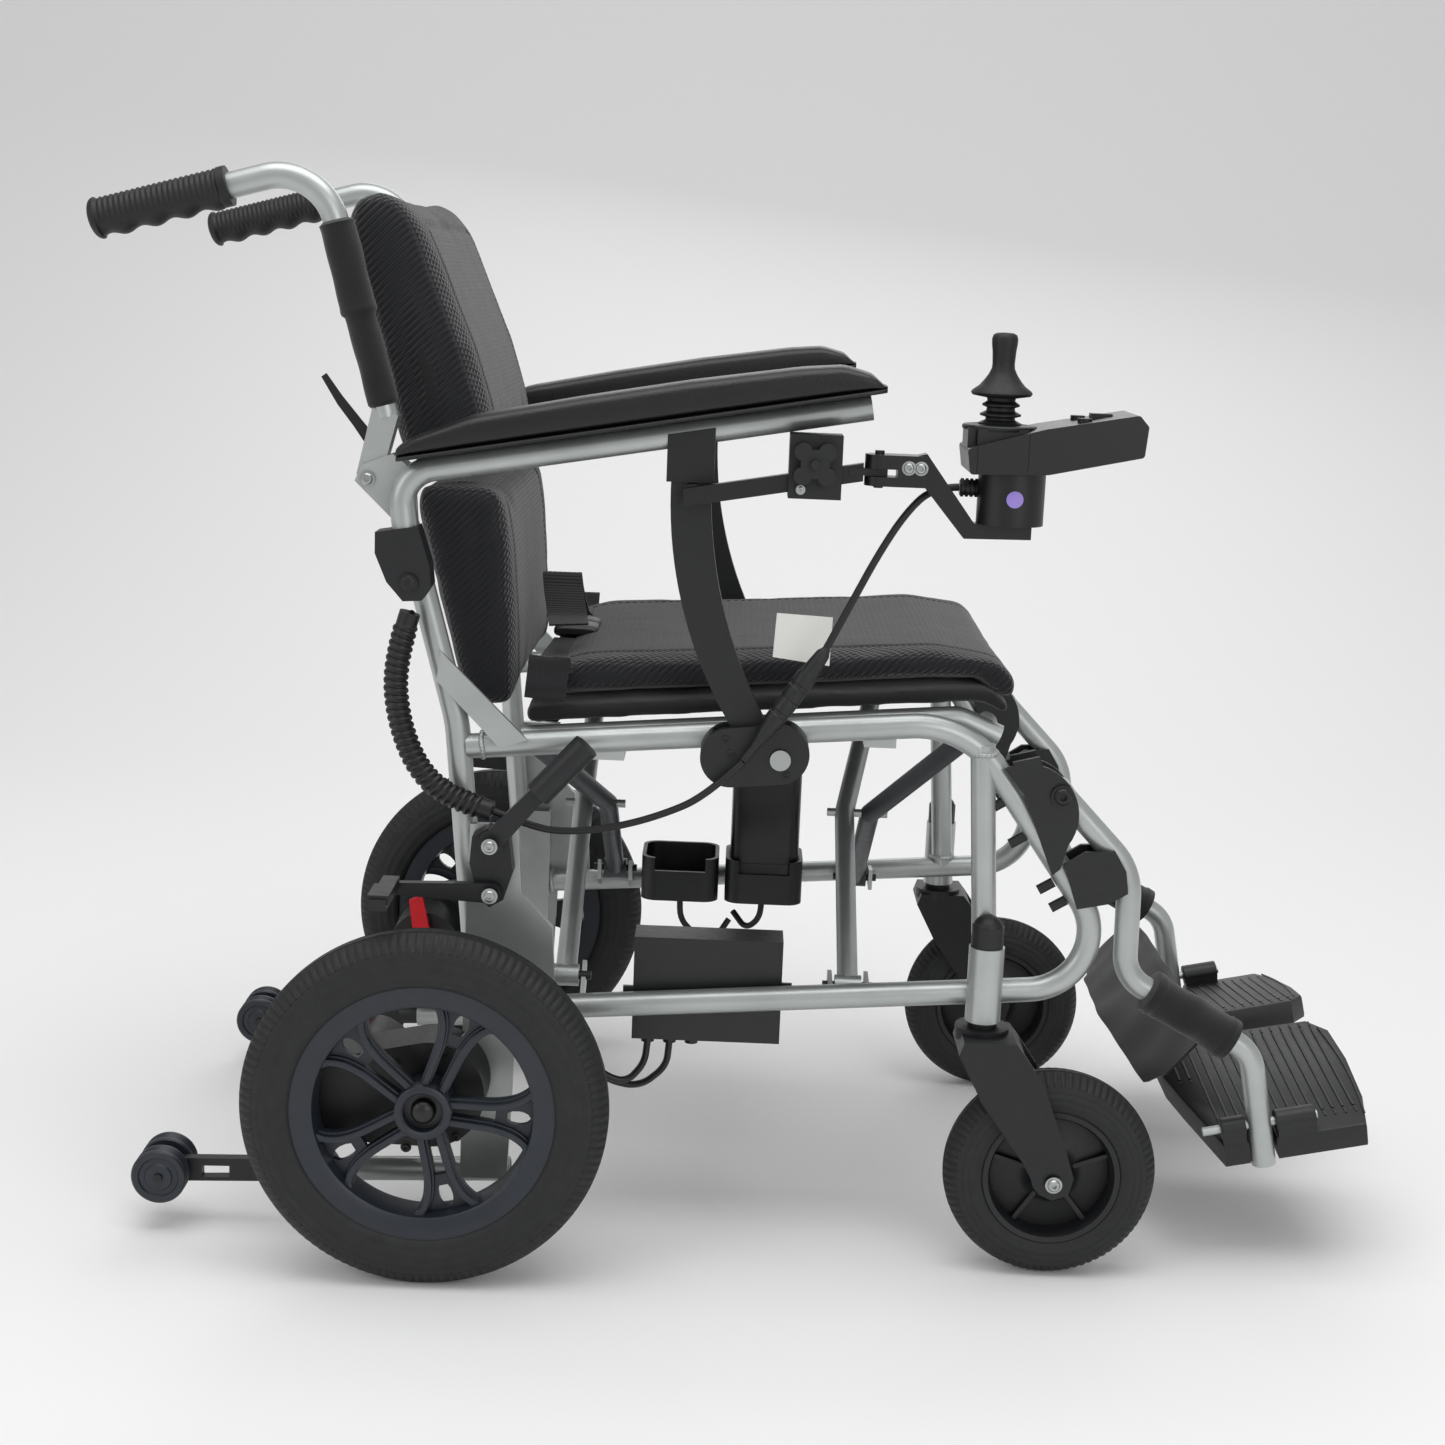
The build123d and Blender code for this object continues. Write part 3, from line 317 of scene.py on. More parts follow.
# %% Knitted spacer mesh
def ribbed_mesh(name, rib_mm, cell_mm):
    material, tree, shader = finish_material(name, "#08090D", 0.88, ior=1.45, sheen=0.28)
    here = place(tree)
    # Ribs run across the chair, so they repeat with distance along the panel, x plus z.
    axes = add_node(tree, "ShaderNodeSeparateXYZ", {"Vector": here})
    run = add_node(tree, "ShaderNodeMath", {0: axes.outputs["X"], 1: axes.outputs["Z"]}, operation="SUBTRACT")
    turns = add_node(tree, "ShaderNodeMath", {0: run.outputs[0]}, operation="MULTIPLY",
                     i1=2000.0 * math.pi / rib_mm)
    rib = add_node(tree, "ShaderNodeMath", {0: turns.outputs[0]}, operation="SINE")
    wales = add_node(tree, "ShaderNodeMath", {0: axes.outputs["Y"]}, operation="MULTIPLY",
                     i1=2000.0 * math.pi / cell_mm)
    wale = add_node(tree, "ShaderNodeMath", {0: wales.outputs[0]}, operation="SINE")
    holes = add_node(tree, "ShaderNodeMath", {0: rib.outputs[0], 1: wale.outputs[0]}, operation="MULTIPLY")
    height = add_node(tree, "ShaderNodeMath", {0: rib.outputs[0], 1: holes.outputs[0]}, operation="ADD")
    unit = add_node(tree, "ShaderNodeMapRange", {"Value": height.outputs[0]})
    unit.inputs["From Min"].default_value = -2.0
    unit.inputs["From Max"].default_value = 2.0
    vary_colour(tree, shader, "#030305", "#13141A", unit.outputs["Result"])
    relief(tree, shader, unit.outputs["Result"], 0.0009, 0.9)
    return material


def diamond_mesh(name, cell_mm):
    material, tree, shader = finish_material(name, "#090A0E", 0.85, ior=1.45, sheen=0.3)
    here = place(tree)
    axes = add_node(tree, "ShaderNodeSeparateXYZ", {"Vector": here})
    run = add_node(tree, "ShaderNodeMath", {0: axes.outputs["X"], 1: axes.outputs["Z"]}, operation="SUBTRACT")
    waves = []
    for sign in (1.0, -1.0):
        lean = add_node(tree, "ShaderNodeMath", {0: axes.outputs["Y"], 2: run.outputs[0]},
                        operation="MULTIPLY_ADD", i1=sign)
        turns = add_node(tree, "ShaderNodeMath", {0: lean.outputs[0]}, operation="MULTIPLY",
                         i1=2000.0 * math.pi / cell_mm)
        waves.append(add_node(tree, "ShaderNodeMath", {0: turns.outputs[0]}, operation="COSINE"))
    cell = add_node(tree, "ShaderNodeMath", {0: waves[0].outputs[0], 1: waves[1].outputs[0]},
                    operation="MAXIMUM")
    unit = add_node(tree, "ShaderNodeMapRange", {"Value": cell.outputs[0]})
    unit.inputs["From Min"].default_value = -0.6
    vary_colour(tree, shader, "#020203", "#14151C", unit.outputs["Result"])
    relief(tree, shader, unit.outputs["Result"], 0.0011, 0.9)
    return material


centre_mesh = ribbed_mesh("ribbed_polyester_spacer_mesh", 5.0, 4.0)
border_mesh = diamond_mesh("diamond_polyester_spacer_mesh", 7.0)
finishes["mesh_fabric"] = centre_mesh
print("mesh:", centre_mesh.name, border_mesh.name)

# %% [markdown]
# Three more cloth-like finishes remain: plain-weave polyester for the sleeves and edge binding,
# ribbed webbing for the belt, and grained vinyl for the armrest pads, whose cells are about
# two millimetres across with a soft shine on their tops.

# %% Woven polyester, webbing and vinyl
cloth, tree, shader = finish_material("plain_weave_polyester", "#090A0D", 0.8, ior=1.45, sheen=0.25)
weave = add_node(tree, "ShaderNodeTexWave", {"Vector": place(tree)}, bands_direction="DIAGONAL",
                 Scale=330.0, Distortion=0.6)
vary_colour(tree, shader, "#050507", "#111217", weave.outputs["Fac"])
relief(tree, shader, weave.outputs["Fac"], 0.0003, 0.7)

webbing, tree, shader = finish_material("ribbed_polyester_webbing", "#08080B", 0.7, ior=1.45, sheen=0.3)
weave = add_node(tree, "ShaderNodeTexWave", {"Vector": place(tree)}, bands_direction="Y",
                 Scale=250.0, Distortion=0.4)
vary_colour(tree, shader, "#040406", "#121218", weave.outputs["Fac"])
relief(tree, shader, weave.outputs["Fac"], 0.0004, 0.8)
finishes["webbing"] = webbing

vinyl, tree, shader = finish_material("grained_black_vinyl", "#090A0C", 0.42, ior=1.5)
cells = add_node(tree, "ShaderNodeTexVoronoi", {"Vector": place(tree)}, Scale=480.0, Randomness=0.9)
vary_colour(tree, shader, "#0D0E11", "#060709", cells.outputs["Distance"])
vary_roughness(tree, shader, 0.34, 0.5, grain(tree, 30, 3))
relief(tree, shader, cells.outputs["Distance"], 0.00025, 0.6)
finishes["pad_vinyl"] = vinyl

label, tree, shader = finish_material("blank_white_vinyl_label", "#E4E4E0", 0.5, ior=1.5)
vary_roughness(tree, shader, 0.42, 0.58, grain(tree, 6, 2))
lilac, tree, shader = finish_material("lilac_printed_vinyl_dot", "#9C86D8", 0.45, ior=1.5)
vary_roughness(tree, shader, 0.4, 0.55, grain(tree, 3, 2))
print(len(finishes), "record slots have a finish")

# %% Floor
floor_mesh = bpy.data.meshes.new("studio_floor")
sweep = [(-6.0, 0.0), (1.6, 0.0)]
sweep += [(1.6 + 2.6 * math.sin(t), 2.6 - 2.6 * math.cos(t)) for t in (math.pi * k / 48 for k in range(1, 25))]
sweep += [(4.2, 8.0)]
floor_mesh.from_pydata([(x, y, z) for y, z in sweep for x in (-9, 9)], [],
                       [(2 * k, 2 * k + 1, 2 * k + 3, 2 * k + 2) for k in range(len(sweep) - 1)])
for face in floor_mesh.polygons:
    face.use_smooth = True
floor = bpy.data.objects.new("studio_floor", floor_mesh)
bpy.context.scene.collection.objects.link(floor)
paper, tree, shader = finish_material("matte_white_paper_sweep", "#F2F2F2", 0.9)
floor_mesh.materials.append(paper)
print("floor", floor.name)

# %% [markdown]
# ## Making pieces
# Almost everything on the chair is one of three shapes: a profile spun round an axle, a flat
# outline given thickness, or a section carried along a line. Each gets one helper that returns
# a bmesh, so that several can be joined into one piece before it becomes an object.


# %% Turning a bmesh into a piece that rides on a body
def piece(name, mesh_data, material, body, smooth_angle=35.0, bevel_mm=0.0, subdivide=0):
    """Closes the books on a bmesh: object, finish, smooth shading, and the body it rides on."""
    bmesh.ops.recalc_face_normals(mesh_data, faces=mesh_data.faces)
    for face in mesh_data.faces:
        face.smooth = True
    sharp = math.radians(smooth_angle)
    for edge in mesh_data.edges:
        if len(edge.link_faces) == 2 and edge.calc_face_angle(0.0) > sharp:
            edge.smooth = False
    mesh = bpy.data.meshes.new(name)
    mesh_data.to_mesh(mesh)
    mesh_data.free()
    made = bpy.data.objects.new(name, mesh)
    bpy.context.scene.collection.objects.link(made)
    for one in material if isinstance(material, (list, tuple)) else [material]:
        mesh.materials.append(one)
    if bevel_mm:
        round_edges(made, bevel_mm)
    if subdivide:
        surface = made.modifiers.new("smooth_surface", "SUBSURF")
        surface.levels = surface.render_levels = subdivide
    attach(made, body)
    return made


def round_edges(target, radius_mm, angle=32.0):
    """Moulded and cut parts never have a knife edge: a small bevel catches the light."""
    bevel = target.modifiers.new("broken_edges", "BEVEL")
    bevel.width = radius_mm * MM
    bevel.segments = 2
    bevel.limit_method = "ANGLE"
    bevel.angle_limit = math.radians(angle)
    bevel.harden_normals = False


def quads(data, rows, closed_rows=True, closed_ends=False):
    """Joins rows of vertices into a skin. Rows have the same length."""
    count = len(rows[0])
    spans = count if closed_rows else count - 1
    steps = len(rows) if closed_ends else len(rows) - 1
    for i in range(steps):
        here, there = rows[i], rows[(i + 1) % len(rows)]
        for k in range(spans):
            n = (k + 1) % count
            data.faces.new((here[k], here[n], there[n], there[k]))


# %% Spun profiles
def spin(data, x, z, profile, side=RIGHT, steps=72, dent=None):
    """Spins (radius, out) points in mm round a cross axle at (x, z). dent lowers the radius."""
    rows = []
    for k in range(steps):
        angle = 2 * math.pi * k / steps
        row = []
        for i, (radius, out) in enumerate(profile):
            r = radius - (dent(k, i) if dent else 0.0)
            row.append(data.verts.new(at(x + r * math.cos(angle), out, z + r * math.sin(angle), side)))
        rows.append(row)
    quads(data, rows, closed_rows=True, closed_ends=True)


def spin_open(data, start, axis, profile, steps=32):
    """Spins (radius, along) points in mm round any axis from start; open ends are capped."""
    direction = axis.normalized()
    ahead = direction.orthogonal().normalized()
    aside = direction.cross(ahead)
    rows = []
    for radius, along in profile:
        centre = start + direction * along * MM
        rows.append([data.verts.new(centre + (ahead * math.cos(2 * math.pi * k / steps)
                                              + aside * math.sin(2 * math.pi * k / steps)) * radius * MM)
                     for k in range(steps)])
    quads(data, rows)
    data.faces.new(rows[0])
    data.faces.new(rows[-1])


# %% Flat outlines with thickness, and sections carried along a line
def plate(data, outline, out0, out1, side=RIGHT):
    """A side-view outline of (x, z) mm, between two distances out."""
    near = [data.verts.new(at(x, out0, z, side)) for x, z in outline]
    far = [data.verts.new(at(x, out1, z, side)) for x, z in outline]
    quads(data, [near, far])
    data.faces.new(near)
    data.faces.new(far)


def smooth_line(points, per_span=8, closed=False):
    """Catmull-Rom points through the given ones."""
    made = []
    n = len(points)
    spans = n if closed else n - 1
    for i in range(spans):
        if closed:
            a, b, c, d = (points[(i + j) % n] for j in (-1, 0, 1, 2))
        else:
            a, b, c, d = (points[min(max(i + j, 0), n - 1)] for j in (-1, 0, 1, 2))
        for k in range(per_span):
            t = k / per_span
            made.append(0.5 * (2 * b + (c - a) * t + (2 * a - 5 * b + 4 * c - d) * t * t
                               + (3 * b - a - 3 * c + d) * t ** 3))
    return made if closed else made + [points[-1]]


def carry(data, line, section, turn=None, scale=None, up=Vector((0, 1, 0)), cap=True):
    """Carries a closed section of (u, v) metres along a line of points."""
    rows = []
    for i, here in enumerate(line):
        along = (line[min(i + 1, len(line) - 1)] - line[max(i - 1, 0)]).normalized()
        aside = along.cross(up).normalized()
        over = aside.cross(along).normalized()
        grow = scale(i / (len(line) - 1)) if scale else 1.0
        rows.append([data.verts.new(here + (aside * u + over * v) * grow) for u, v in section])
    quads(data, rows)
    if cap:
        data.faces.new(rows[0])
        data.faces.new(rows[-1])


def circle(radius_mm, steps=16):
    return [(radius_mm * MM * math.cos(2 * math.pi * k / steps),
             radius_mm * MM * math.sin(2 * math.pi * k / steps)) for k in range(steps)]


def rounded_box(half_u_mm, half_v_mm, corner_mm, steps=3):
    """A section with round corners."""
    made = []
    for k, (su, sv) in enumerate(((1, 1), (-1, 1), (-1, -1), (1, -1))):
        for j in range(steps + 1):
            a = math.pi / 2 * (k + j / steps)
            made.append(((su * (half_u_mm - corner_mm) + corner_mm * math.cos(a)) * MM,
                         (sv * (half_v_mm - corner_mm) + corner_mm * math.sin(a)) * MM))
    return made


print("a rounded box section has", len(rounded_box(5, 5, 1)), "points")

# %% [markdown]
# ## Cords first
# Four leads matter: the joystick's lead down to its in-line connector, the run from there to the
# brake, and the thick curly harness behind the back post. Each lies where its CAD tube lies, on
# a smooth spline through the same points. The curl is a helix wound round the spline's own line.


# %% Splines, and the line that one makes
def cord_curve(name, points, diameter_mm, body):
    """A round cord on a smooth spline with the route's points as its control points."""
    data = bpy.data.curves.new(name, "CURVE")
    data.dimensions = "3D"
    spline = data.splines.new("NURBS")
    spline.points.add(len(points) - 1)
    for knot, point in zip(spline.points, points):
        knot.co = (*point, 1.0)
    spline.order_u = 3
    spline.use_endpoint_u = True
    spline.resolution_u = 16
    data.bevel_depth = diameter_mm * MM / 2
    data.bevel_resolution = 4
    data.use_fill_caps = True
    data.materials.append(jacket)
    made = bpy.data.objects.new(name, data)
    bpy.context.scene.collection.objects.link(made)
    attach(made, body)
    return made


def spline_line(points):
    """Points along the spline itself, as Blender evaluates it with no bevel."""
    data = bpy.data.curves.new("line", "CURVE")
    data.dimensions = "3D"
    spline = data.splines.new("NURBS")
    spline.points.add(len(points) - 1)
    for knot, point in zip(spline.points, points):
        knot.co = (*point, 1.0)
    spline.order_u = 3
    spline.use_endpoint_u = True
    spline.resolution_u = 24
    holder = bpy.data.objects.new("line", data)
    bpy.context.scene.collection.objects.link(holder)
    mesh = bpy.data.meshes.new_from_object(holder)
    line = [v.co.copy() for v in mesh.vertices]
    bpy.data.objects.remove(holder)
    return line


def length_of(line):
    return sum((b - a).length for a, b in zip(line, line[1:]))


JOYSTICK_LEAD = [at(433.5, 250, 705), at(412, 250, 704), at(390, 253, 682), at(368, 259, 646),
                 at(347, 265, 604), at(326, 268, 562)]
FRAME_LEAD = [at(262, 268, 466), at(232, 266, 434), at(192, 250, 411), at(148, 243, 396),
              at(104, 243, 391), at(76, 243, 397), at(47, 240, 407)]
HARNESS = [at(-28, 236, 578), at(-41, 236, 536), at(-38, 236, 486), at(-20, 236, 440),
           at(10, 236, 415), at(46, 240, 407)]
print("joystick lead", round(length_of(spline_line(JOYSTICK_LEAD)), 4),
      "frame lead", round(length_of(spline_line(FRAME_LEAD)), 4),
      "harness", round(length_of(spline_line(HARNESS)), 4))

# %% Joystick lead with its connector half
joystick_lead = cord_curve("joystick_cable", JOYSTICK_LEAD, 6.4, "right_armrest")
data = bmesh.new()
plug_top, plug_end = at(326, 268, 562), at(300, 268, 522)
spin_open(data, plug_top - (plug_end - plug_top) * 0.12, plug_end - plug_top,
          [(3.3, 0), (4.2, 3), (6, 6), (7.2, 18), (7.6, 26), (9, 30), (9, 38), (8.2, 39), (8.2, 42),
           (9, 43), (9, 53), (8.4, 54)], 28)
plug = piece("in_line_plug", data, nylon, "right_armrest")
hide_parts("joystick_lead")

# %% Frame lead with the other connector half, and its cable tie
frame_lead = cord_curve("frame_cable", FRAME_LEAD, 6.4, "right_frame")
data = bmesh.new()
socket_top, socket_end = at(299.6, 268, 521.4), at(262, 268, 466)
spin_open(data, socket_top, socket_end - socket_top,
          [(8.6, 0), (9, 1), (9, 12), (8.2, 13), (8.2, 16), (9, 17), (8.8, 24), (7.6, 27), (7.2, 34),
           (5.6, 38), (5.6, 41), (5, 42), (5, 45), (4.4, 46), (4.4, 50), (3.8, 51), (3.6, 66)], 28)
socket = piece("in_line_socket", data, nylon, "right_frame")
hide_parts("frame_lead")

# %% Curly harness
TURNS = 34
CORE_MM, WIRE_MM = 8.0, 6.0
line = spline_line(HARNESS)
whole = length_of(line)
steps = TURNS * 14
walked = [0.0]
for a, b in zip(line, line[1:]):
    walked.append(walked[-1] + (b - a).length)


def along_line(distance):
    """The point and direction at a distance along the line."""
    i = 0
    while i < len(line) - 2 and walked[i + 1] < distance:
        i += 1
    share = (distance - walked[i]) / max(walked[i + 1] - walked[i], 1e-9)
    return line[i].lerp(line[i + 1], share), (line[i + 1] - line[i]).normalized()


coil = []
for k in range(steps + 1):
    distance = whole * k / steps
    centre, direction = along_line(distance)
    aside = direction.cross(Vector((0, 1, 0))).normalized()
    over = aside.cross(direction)
    near_end = min(distance, whole - distance) / 0.016
    reach = CORE_MM * MM * min(1.0, 0.15 + near_end)
    turn = 2 * math.pi * TURNS * k / steps
    coil.append(centre + (aside * math.cos(turn) + over * math.sin(turn)) * reach)
data = bmesh.new()
carry(data, coil, circle(WIRE_MM / 2, 8))
curl = piece("curly_harness_wire", data, jacket, "right_frame")
harness = cord_curve("harness_core", HARNESS, 18.4, "right_frame")
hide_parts("harness_cord")
print("harness", round(whole, 4), "m with", TURNS, "turns")

# %% [markdown]
# ## Wheels and tyres
# A 12.5 inch drive tyre has a smooth bulging sidewall with fine moulded lines, and a row of small
# tread blocks round the shoulder, about 7 mm apart. Spinning a profile while lowering some of its
# points at regular steps cuts those blocks as real geometry, so they show on the outline too.


# %% Tyres
def tyre(name, x, z, out, radius, bead, width, blocks, side, body, node):
    """A pneumatic tyre with shoulder blocks. Sizes in mm."""
    half = width / 2
    wall = radius - bead
    shape = [(bead - 1, half - 6), (bead, half - 3.5), (bead + 0.12 * wall, half - 1.0),
             (bead + 0.16 * wall, half - 1.3), (bead + 0.20 * wall, half - 0.4),
             (bead + 0.34 * wall, half), (bead + 0.37 * wall, half - 0.5), (bead + 0.40 * wall, half),
             (bead + 0.52 * wall, half - 1.0), (bead + 0.55 * wall, half - 1.7), (bead + 0.58 * wall, half - 1.4),
             (bead + 0.70 * wall, half - 4.0), (bead + 0.72 * wall, half - 4.0), (bead + 0.86 * wall, half - 8.5),
             (bead + 0.95 * wall, half - 13.0), (radius - 0.3, half - 17.5), (radius - 2.2, half - 18.2),
             (radius - 2.2, half - 20.0), (radius, half - 20.8)]
    profile = [(r, out + w) for r, w in shape] + [(r, out - w) for r, w in reversed(shape)]
    tread = {12, 13, 14, len(profile) - 13, len(profile) - 14, len(profile) - 15}

    def dent(k, i):
        shift = 2 if i > len(shape) else 0
        return 1.9 if i in tread and (k + shift) % 5 >= 3 else 0.0

    data = bmesh.new()
    spin(data, x, z, profile, side, blocks * 5, dent)
    made = piece(name, data, tyre_rubber, body, 50)
    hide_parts(node)
    return made


for word, side in SIDES:
    tyre(word + "_drive_tyre_tread", 0, 159, 309, 159, 114.5, 50, 130, side,
         word + "_drive_wheel", word + "_drive_tyre")
    tyre(word + "_caster_tyre_tread", 552, 95, 237, 95, 61, 45, 84, side,
         word + "_caster_wheel", word + "_caster_tyre")
print("tyres made")

# %% [markdown]
# The drive wheel is one moulding: a flat slate rim, and five pairs of thin curved spokes. The two
# spokes of a pair lean together half-way out and part again at the rim, where a thin web with an
# oval hole ties them. Each spoke is a rib carried along a curved line; the web is a thin plate.


# %% Drive wheels
def wheel_point(radius, degrees, out, side):
    a = math.radians(degrees)
    return at(radius * math.cos(a), out, 159 + radius * math.sin(a), side)


def drive_wheel(word, side):
    data = bmesh.new()
    spin(data, 0, 159, [(115.5, 327), (114, 328.6), (97.5, 327), (95, 325), (93.5, 316), (93, 300),
                        (95, 291), (113, 290), (115.5, 292)], side, 120)
    spin(data, 0, 159, [(25, 320), (24.4, 324), (22, 325.6), (19, 325.6), (17.2, 324), (16.6, 315), (8, 314.4),
                        (8, 284), (22, 284), (24, 288)], side, 56)
    for pair in range(5):
        middle = 68 + 72 * pair
        for lean in (-1, 1):
            route = [(19, 23), (30, 16), (46, 11.2), (62, 9.4), (78, 10.4), (90, 13.2), (97, 16)]
            points = [wheel_point(r, middle + lean * a, 316.5, side) for r, a in route]
            curve = smooth_line(points, 5)
            out_way = Vector((0, -side, 0))
            carry(data, curve, rounded_box(2.9, 3.6, 1.2, 2), up=out_way,
                  scale=lambda t: 1.0 + 0.5 * max(0.0, t - 0.85) / 0.15 + 0.25 * max(0.0, 0.12 - t) / 0.12)
            lower = [p - out_way * 0.007 for p in curve]
            carry(data, lower, rounded_box(4.8, 5.0, 1.5, 2), up=out_way)
        web_ring(data, middle, side)
    made = piece(word + "_spoked_wheel", data, slate, word + "_drive_wheel", 40)
    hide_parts(word + "_drive_wheel")
    data = bmesh.new()
    spin_open(data, at(0, 314, 159, side), Vector((0, -side, 0)),
              [(15.5, 0), (15.5, 1.5), (11, 1.6), (10.6, 7), (10, 8.5), (8, 10.4), (5, 11.8), (2, 12.5),
               (0.4, 12.6)], 32)
    piece(word + "_axle_cap", data, abs_shell, word + "_drive_wheel")
    return made


def web_ring(data, middle, side):
    """The thin plate between the two spokes of a pair, with its oval hole."""
    rim_edge = [(95.5, a) for a in (12, 8, 4, 0, -4, -8, -12)]
    left_edge = [(84, -10.6), (72, -8.6), (62, -7.4)]
    right_edge = [(62, 7.4), (72, 8.6), (84, 10.6)]
    edge = rim_edge + left_edge + right_edge
    hole_radius, hole_half_long, hole_half_wide = 81.0, 11.5, 6.2
    outer, inner = [], []
    for r, a in edge:
        t = math.radians(a)
        across_mm, up_mm = r * math.sin(t), r * math.cos(t) - hole_radius
        turn = math.atan2(across_mm / hole_half_wide, up_mm / hole_half_long)
        outer.append((r, a))
        hr = hole_radius + hole_half_long * math.cos(turn)
        ha = math.degrees(hole_half_wide * math.sin(turn) / hr)
        inner.append((hr, ha))
    rows = []
    for out in (306.0, 311.5):
        rows.append([data.verts.new(wheel_point(r, middle + a, out, side)) for r, a in outer])
        rows.append([data.verts.new(wheel_point(r, middle + a, out, side)) for r, a in inner])
    quads(data, [rows[0], rows[1], rows[3], rows[2]], closed_ends=True)


for word, side in SIDES:
    drive_wheel(word, side)
print("drive wheels: 5 pairs of spokes each")

# %% [markdown]
# Each front caster has a dished plastic wheel: a deep rim, a thin disc near its middle plane and
# five straight stiffening ribs, with a grey bearing washer and the axle nut at the hub.

# %% Caster wheels
for word, side in SIDES:
    data = bmesh.new()
    spin(data, 552, 95, [(62.5, 256), (61, 257.5), (56.5, 256.5), (54, 252), (53, 243), (53, 231), (54, 222),
                         (56.5, 217.5), (61, 216.5), (62.5, 218)], side, 72)
    spin(data, 552, 95, [(54, 239), (30, 241), (22, 246), (18, 258), (15, 259.5), (9, 259.5), (9, 214.5),
                         (15, 214.5), (18, 216), (22, 228), (30, 233), (54, 235)], side, 60)
    for k in range(5):
        a = math.radians(72 * k + 20)
        reach = [at(552 + r * math.cos(a), 237, 95 + r * math.sin(a), side) for r in (14, 30, 46, 55)]
        carry(data, reach, rounded_box(2.4, 9.0, 1.0, 2), up=Vector((0, 1, 0)))
    made = piece(word + "_caster_rim", data, nylon, word + "_caster_wheel", 40)
    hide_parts(word + "_caster_wheel")
print("caster rims made")

# %% [markdown]
# ## Dressing the CAD parts
# Tubes, forks and brackets already have their true shape, so they only need finishes. Where one
# CAD part holds two materials, such as a lacquered armrest tube in a black moulding, its faces
# are sorted by how far they lie from the tube's centre line. A small bevel breaks hard edges.


# %% Finishes for CAD nodes
def workshop(point):
    """Frame metres back to workshop numbers: x, out, z in mm."""
    return (point.x - AXLE_X) / MM, abs(point.y) / MM, point.z / MM


def away_from(px, pz, line):
    """Distance in the side view from a point to a line of points."""
    best = 1e9
    for (ax, az), (bx, bz) in zip(line, line[1:]):
        dx, dz = bx - ax, bz - az
        t = max(0.0, min(1.0, ((px - ax) * dx + (pz - az) * dz) / (dx * dx + dz * dz)))
        best = min(best, math.hypot(px - ax - t * dx, pz - az - t * dz))
    return best


def dress(name, materials, rule=None, bevel_mm=0.0):
    """Gives a CAD node its finishes; rule picks one for each face by its place."""
    target = nodes[name]
    target.data.materials.clear()
    for one in materials:
        target.data.materials.append(one)
    for face in target.data.polygons:
        face.material_index = rule(*workshop(face.center)) if rule else 0
    if bevel_mm:
        round_edges(target, bevel_mm, 40.0)


ARM_LINE = [(-28, 612), (-38, 697), (358, 768)]


def on_arm_tube(x, out, z):
    near = math.hypot(away_from(x, z, ARM_LINE), out - 240.0)
    in_bend = 656 < z < 715 and x < 6
    return 0 if near < 11.35 or (in_bend and abs(out - 240.0) < 11.3) else 1


def on_seat_tube(x, out, z):
    rail = 458 + 0.08696 * (x - 20)
    return 0 if out > 172 and z > rail - 20 - max(0.0, x - 452) * 0.5 else 1


for word, side in SIDES:
    dress(word + "_side_frame", [silver])
    dress(word + "_push_handle", [silver])
    dress(word + "_legrest_hanger", [silver])
    dress(word + "_frame_fittings", [nylon], bevel_mm=0.8)
    dress(word + "_drive_motor", [nylon], bevel_mm=1.2)
    dress(word + "_armrest_frame", [silver, nylon], on_arm_tube)
    dress(word + "_caster_fork", [powder], bevel_mm=1.4)
    dress(word + "_freewheel_lever", [red], bevel_mm=1.0)
    dress(word + "_back_latch", [powder], bevel_mm=0.8)
    dress(word + "_brake_shoe", [powder], bevel_mm=0.6)
    dress(word + "_armrest_button", [zinc], bevel_mm=1.6)
dress("cross_brace_a", [silver])
# Below the seat tube the brace gets the darker copy of the silver: painted shade for the shadow under the seat.
dress("cross_brace_b", [silver, shade_painted_silver], on_seat_tube)
dress("controller_box", [abs_shell], bevel_mm=1.5)
dress("joystick_bar", [powder], bevel_mm=0.6)
dress("joystick_gimbal", [nylon])
dress("speed_rocker", [nylon], bevel_mm=0.8)
dress("power_button", [nylon], bevel_mm=0.8)
dress("horn_button", [nylon], bevel_mm=0.8)
dress("clamp_knob", [nylon], bevel_mm=1.6)
print("CAD nodes dressed")

# %% [markdown]
# A welded tube joint has a bead of small overlapping ripples, like a stack of coins. A ring of
# round section with a rippled radius shows it. Real frames have them wherever two tubes meet.


# %% Weld beads
def weld(data, start, axis, radius_mm, bead_mm=2.4, ripples=26):
    direction = axis.normalized()
    ahead = direction.orthogonal().normalized()
    aside = direction.cross(ahead)
    rows = []
    for k in range(ripples * 4):
        angle = 2 * math.pi * k / (ripples * 4)
        swell = bead_mm * (0.86 + 0.2 * abs(math.sin(angle * ripples / 2)))
        spoke = ahead * math.cos(angle) + aside * math.sin(angle)
        lean = direction * math.sin(3 * angle) * 0.4 * MM
        rows.append([data.verts.new(start + lean + spoke * (radius_mm + swell * math.cos(t)) * MM
                                    + direction * swell * math.sin(t) * MM)
                     for t in (2 * math.pi * j / 8 for j in range(8))])
    quads(data, rows, closed_ends=True)


